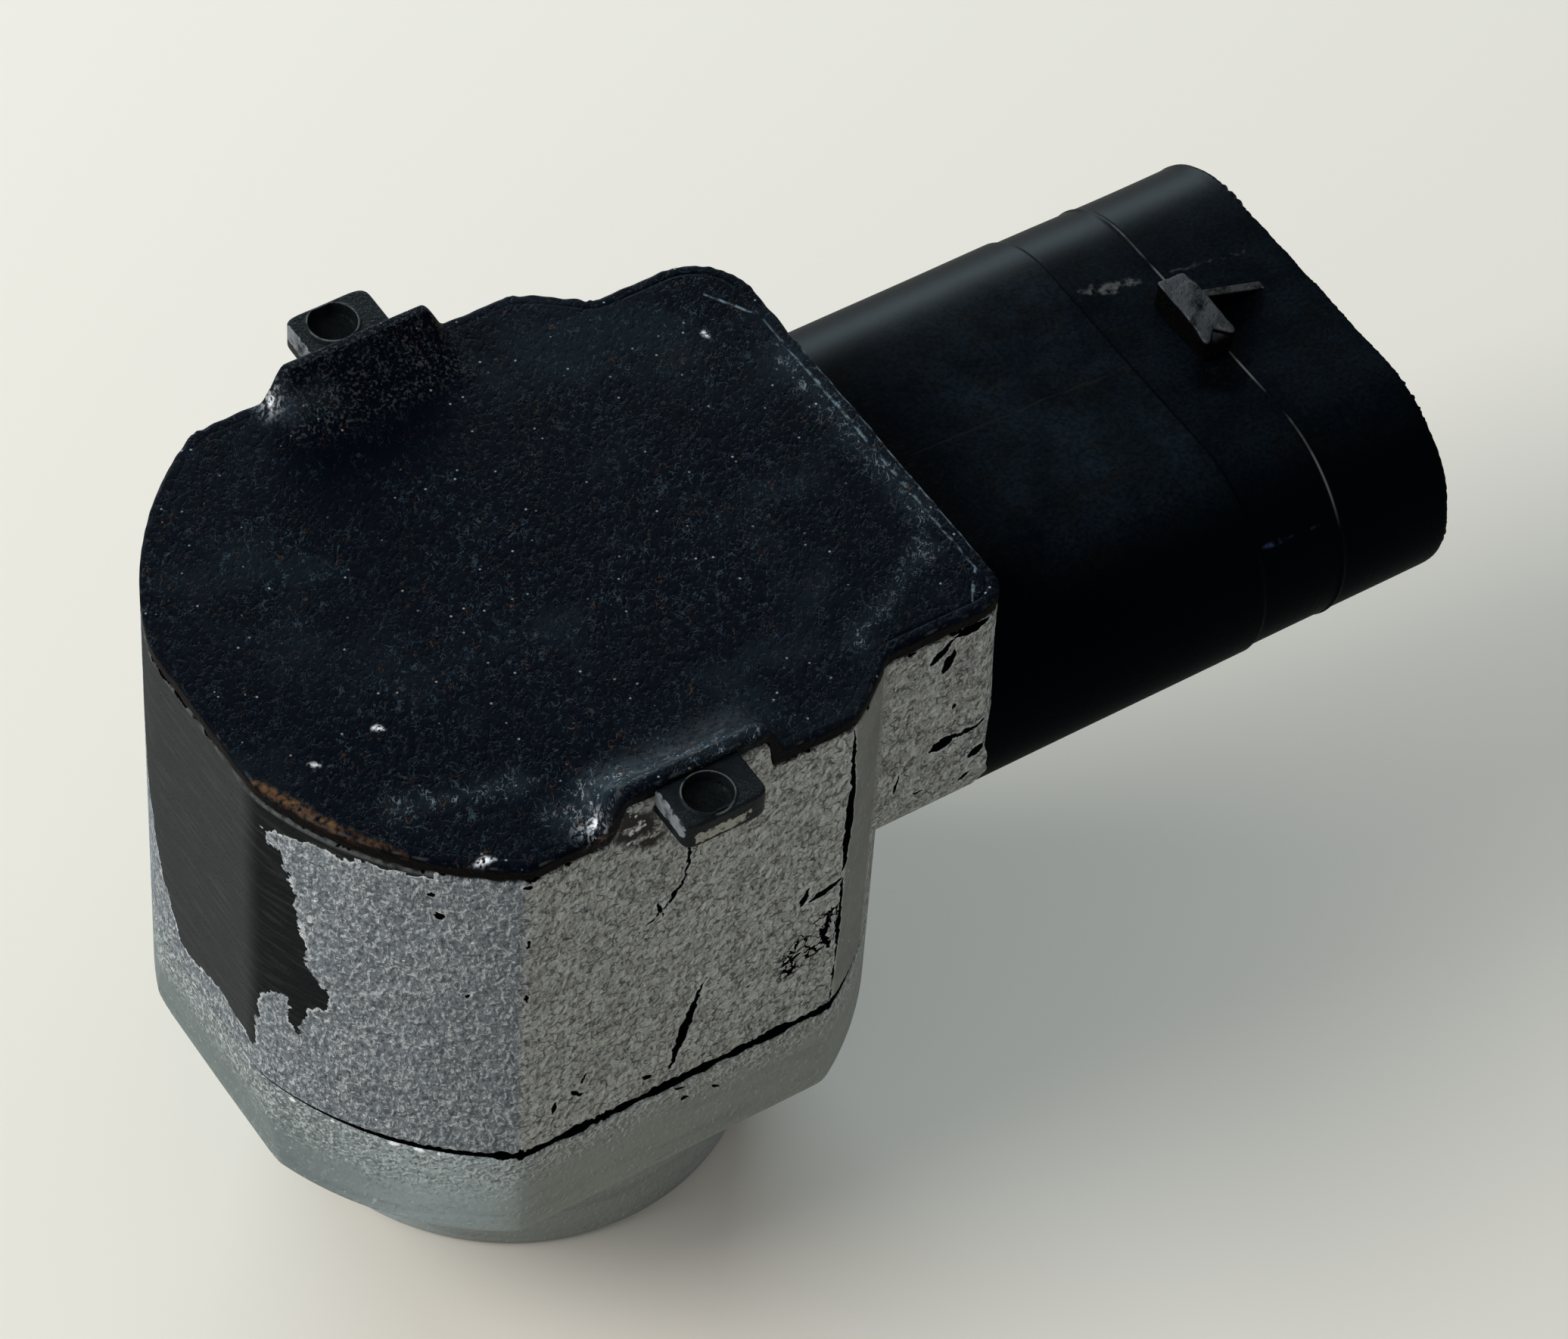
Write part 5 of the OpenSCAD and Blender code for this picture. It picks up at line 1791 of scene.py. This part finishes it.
@dataclass
class Studio:
    """Camera, floor and lights."""

    azimuth: float = -36.205
    elevation: float = 50.212
    roll: float = 4.335
    shift: tuple[float, float] = (-9.638, 3.571)
    distance: float = 242.459
    focal_px: float = 8794.75
    frame_px: float = 2072.0
    aim_z: float = 29.2
    sensor: float = 36.0
    clip: float = 0.005
    floor_half: float = 3.0
    floor_rough: float = 0.8
    floor_specular: float = 0.1
    floor: Colour = (0.66, 0.63, 0.57)
    sky: Colour = (0.43, 0.435, 0.44)
    aim: Point = (0.005, 0.0, 0.018)

    def camera(self) -> None:
        """Sets the camera by its turn, height, roll, distance and offset about the rear face."""
        az, el, roll = (math.radians(a) for a in (self.azimuth, self.elevation, self.roll))
        back = Vector((math.sin(az) * math.cos(el), -math.cos(az) * math.cos(el), math.sin(el)))
        right = Vector((math.cos(az), math.sin(az), 0.0))
        up = back.cross(right)
        across = math.cos(roll) * right + math.sin(roll) * up
        upward = math.cos(roll) * up - math.sin(roll) * right
        place = Vector((0.0, 0.0, self.aim_z)) - self.shift[0] * across - self.shift[1] * upward
        place = place + self.distance * back
        lens = bpy.data.cameras.new("view")
        lens.sensor_width = self.sensor
        lens.lens = self.focal_px / self.frame_px * self.sensor
        lens.clip_start = self.clip
        made = placed("view", lens)
        turn = Matrix((across, upward, back)).transposed().to_4x4()
        made.matrix_world = Matrix.Translation(place * MM) @ turn
        bpy.context.scene.camera = made

    def floor_plane(self) -> None:
        """Lays a wide pale floor under the nose."""
        corners = ((-1, -1), (1, -1), (1, 1), (-1, 1))
        mesh = bpy.data.meshes.new("floor")
        points = [(x * self.floor_half, y * self.floor_half, 0.0) for x, y in corners]
        mesh.from_pydata(points, [], [(0, 1, 2, 3)])
        made = placed("floor", mesh)
        paint = bpy.data.materials.new("pale_floor")
        paint.use_nodes = True
        shader = paint.node_tree.nodes["Principled BSDF"]
        shader.inputs["Base Color"].default_value = (*self.floor, 1.0)
        shader.inputs["Roughness"].default_value = self.floor_rough
        shader.inputs["Specular IOR Level"].default_value = self.floor_specular
        mesh.materials.append(paint)

    def lamp(self, name: str, place: Point, size: tuple[float, float], power: float, tone: Colour) -> None:
        """Hangs one soft rectangular lamp that faces the part.

        Args:
            name: name of the lamp.
            place: its place in metres.
            size: its two sides in metres.
            power: its power in watts.
            tone: its colour.
        """
        data = bpy.data.lights.new(name, "AREA")
        data.shape = "RECTANGLE"
        data.size, data.size_y = size
        data.energy = power
        data.color = tone
        turn = (Vector(self.aim) - Vector(place)).to_track_quat("-Z", "Y")
        placed(name, data).matrix_world = Matrix.Translation(place) @ turn.to_matrix().to_4x4()

    def lights(self) -> None:
        """Lights the part softly from the left and from behind, over an even sky."""
        world = bpy.data.worlds.new("even_sky")
        world.use_nodes = True
        sky = world.node_tree.nodes["Background"]
        sky.inputs["Color"].default_value = (*self.sky, 1.0)
        bpy.context.scene.world = world
        self.lamp("window_left", (-0.42, 0.16, 0.36), (0.34, 0.34), 3.4, (1.0, 0.99, 0.97))
        self.lamp("window_back", (0.16, 0.48, 0.14), (0.40, 0.16), 2.8, (0.74, 0.92, 1.0))
        bpy.context.scene.view_settings.view_transform = "Standard"


INNER_FINISHES = (
    (("transducer_cup",),
     PlainFinish("satin_aluminium", colour=(0.62, 0.63, 0.65), metallic=1.0, rough=0.38)),
    (("decoupling_ring",), PlainFinish("black_silicone", colour=(0.02, 0.02, 0.021), rough=0.75)),
    (("piezo_disc", "ceramic_capacitors"),
     PlainFinish("fired_ceramic", colour=(0.6, 0.52, 0.36), rough=0.6)),
    (("damping_foam",), PlainFinish("dark_foam", colour=(0.06, 0.06, 0.065), rough=0.9, grain=0.05)),
    (("transducer_cap", "transformer_bobbin", "control_chip", "chip_resistors", "terminal_comb"),
     PlainFinish("moulded_black", colour=(0.012, 0.012, 0.013))),
    (("signal_lead", "ground_lead", "transformer_winding"),
     PlainFinish("enamelled_copper", colour=(0.6, 0.27, 0.12), metallic=1.0, rough=0.4)),
    (("circuit_board",), PlainFinish("green_solder_mask", colour=(0.02, 0.12, 0.045), rough=0.35)),
    (("transformer_core",),
     PlainFinish("sintered_ferrite", colour=(0.045, 0.045, 0.05), rough=0.65, grain=0.015)),
    (("power_pin", "data_pin", "ground_pin", "storage_capacitor"),
     PlainFinish("tinned_metal", colour=(0.58, 0.56, 0.52), metallic=1.0, rough=0.32)),
)


def dress(piece: bpy.types.Object, node: str, slot: str, *finishes: bpy.types.Material) -> None:
    """Gives a piece its finishes and hides the CAD node that it stands for."""
    for finish in finishes:
        piece.data.materials.append(finish)
    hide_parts(node)


def main() -> None:
    """Builds and dresses every piece, then sets up the studio."""
    logging.basicConfig(level=logging.INFO, format="%(message)s")
    fx = Effects()
    paint = FlakedPaint("flaked_label_paint", specular=0.0, scars=LABEL_SCARS)
    side_scars = FLAT_SCARS + CREASE_SCARS
    side_paint = replace(paint, name="flaked_side_paint", scars=side_scars, soiled=FLAT_SOIL)
    block_scars = BLOCK_UPPER_SCARS + BLOCK_LOWER_SCARS
    block_paint = replace(paint, name="flaked_block_paint", scars=block_scars, bare_near=SHADE)
    collar_paint = CollarPaint("smooth_collar_paint", specular=0.0, scars=COLLAR_CHIPS, glints=COLLAR_GLINTS)
    cover = GrainedPlastic(
        "grained_cover", specular=0.02, rubbed=COVER_RUBS, dirty=COVER_DIRT, scratched=COVER_SCRATCHES,
        glows=COVER_GLOWS, glints=COVER_GLINTS, dark_band_z=28.95, lip_y=8.6,
    )
    near_lug = LugPlastic("near_lug_plastic", specular=0.05)
    far_lug = LugPlastic(
        "far_lug_plastic", specular=0.03, base=(0.0050, 0.0070, 0.0080), haze=(0.013, 0.017, 0.018)
    )
    shell = ConnectorPlastic(
        "connector_black", specular=0.005, lines=SHROUD_LINES, rubs=SHROUD_RUBS, streaks=SHROUD_SKY_REFLECTIONS,
        nub_shadows=SHROUD_NUB_SHADOWS,
    )
    gusset = GrainedPlastic(
        "worn_gusset", specular=0.02, base=(0.0010, 0.0012, 0.0016), grey=(0.02, 0.021, 0.022),
        rust=(0.012, 0.010, 0.009), steep_dirt_and_shade=SHADE, haze=(0.030, 0.031, 0.031), dust_scale=1.0, dust_level=0.3,
        dusty=1.0, facing=0.3, grain=0.03,
    )
    nub = replace(gusset, name="worn_nub", crumbs=(0.10, 0.105, 0.11), haze=(0.036, 0.040, 0.043))
    housing = ("housing", "housing_plastic")
    dress(BodyWall().build(), *housing, paint.build(fx), side_paint.build(fx))
    dress(ConnectorBlock().build(), *housing, block_paint.build(fx))
    dress(ConnectorShroud().build(), *housing, shell.build(fx))
    for piece, finish in zip(LatchNub().build(), (nub, gusset)):
        dress(piece, *housing, finish.build(fx))
    for side, finish in ((-1.0, near_lug), (1.0, far_lug)):
        dress(SideLug(side).build(), *housing, finish.build(fx))
    dress(FrontCollar().build(), "front_collar", "body_paint", collar_paint.build(fx))
    dress(RearCover().build(), "rear_cover", "cover_plastic", cover.build(fx))
    for names, finish in INNER_FINISHES:
        made = finish.build(fx)
        for name in names:
            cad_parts[name].data.materials.clear()
            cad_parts[name].data.materials.append(made)
    studio = Studio()
    studio.floor_plane()
    studio.lights()
    studio.camera()


if __name__ == "__main__":
    main()
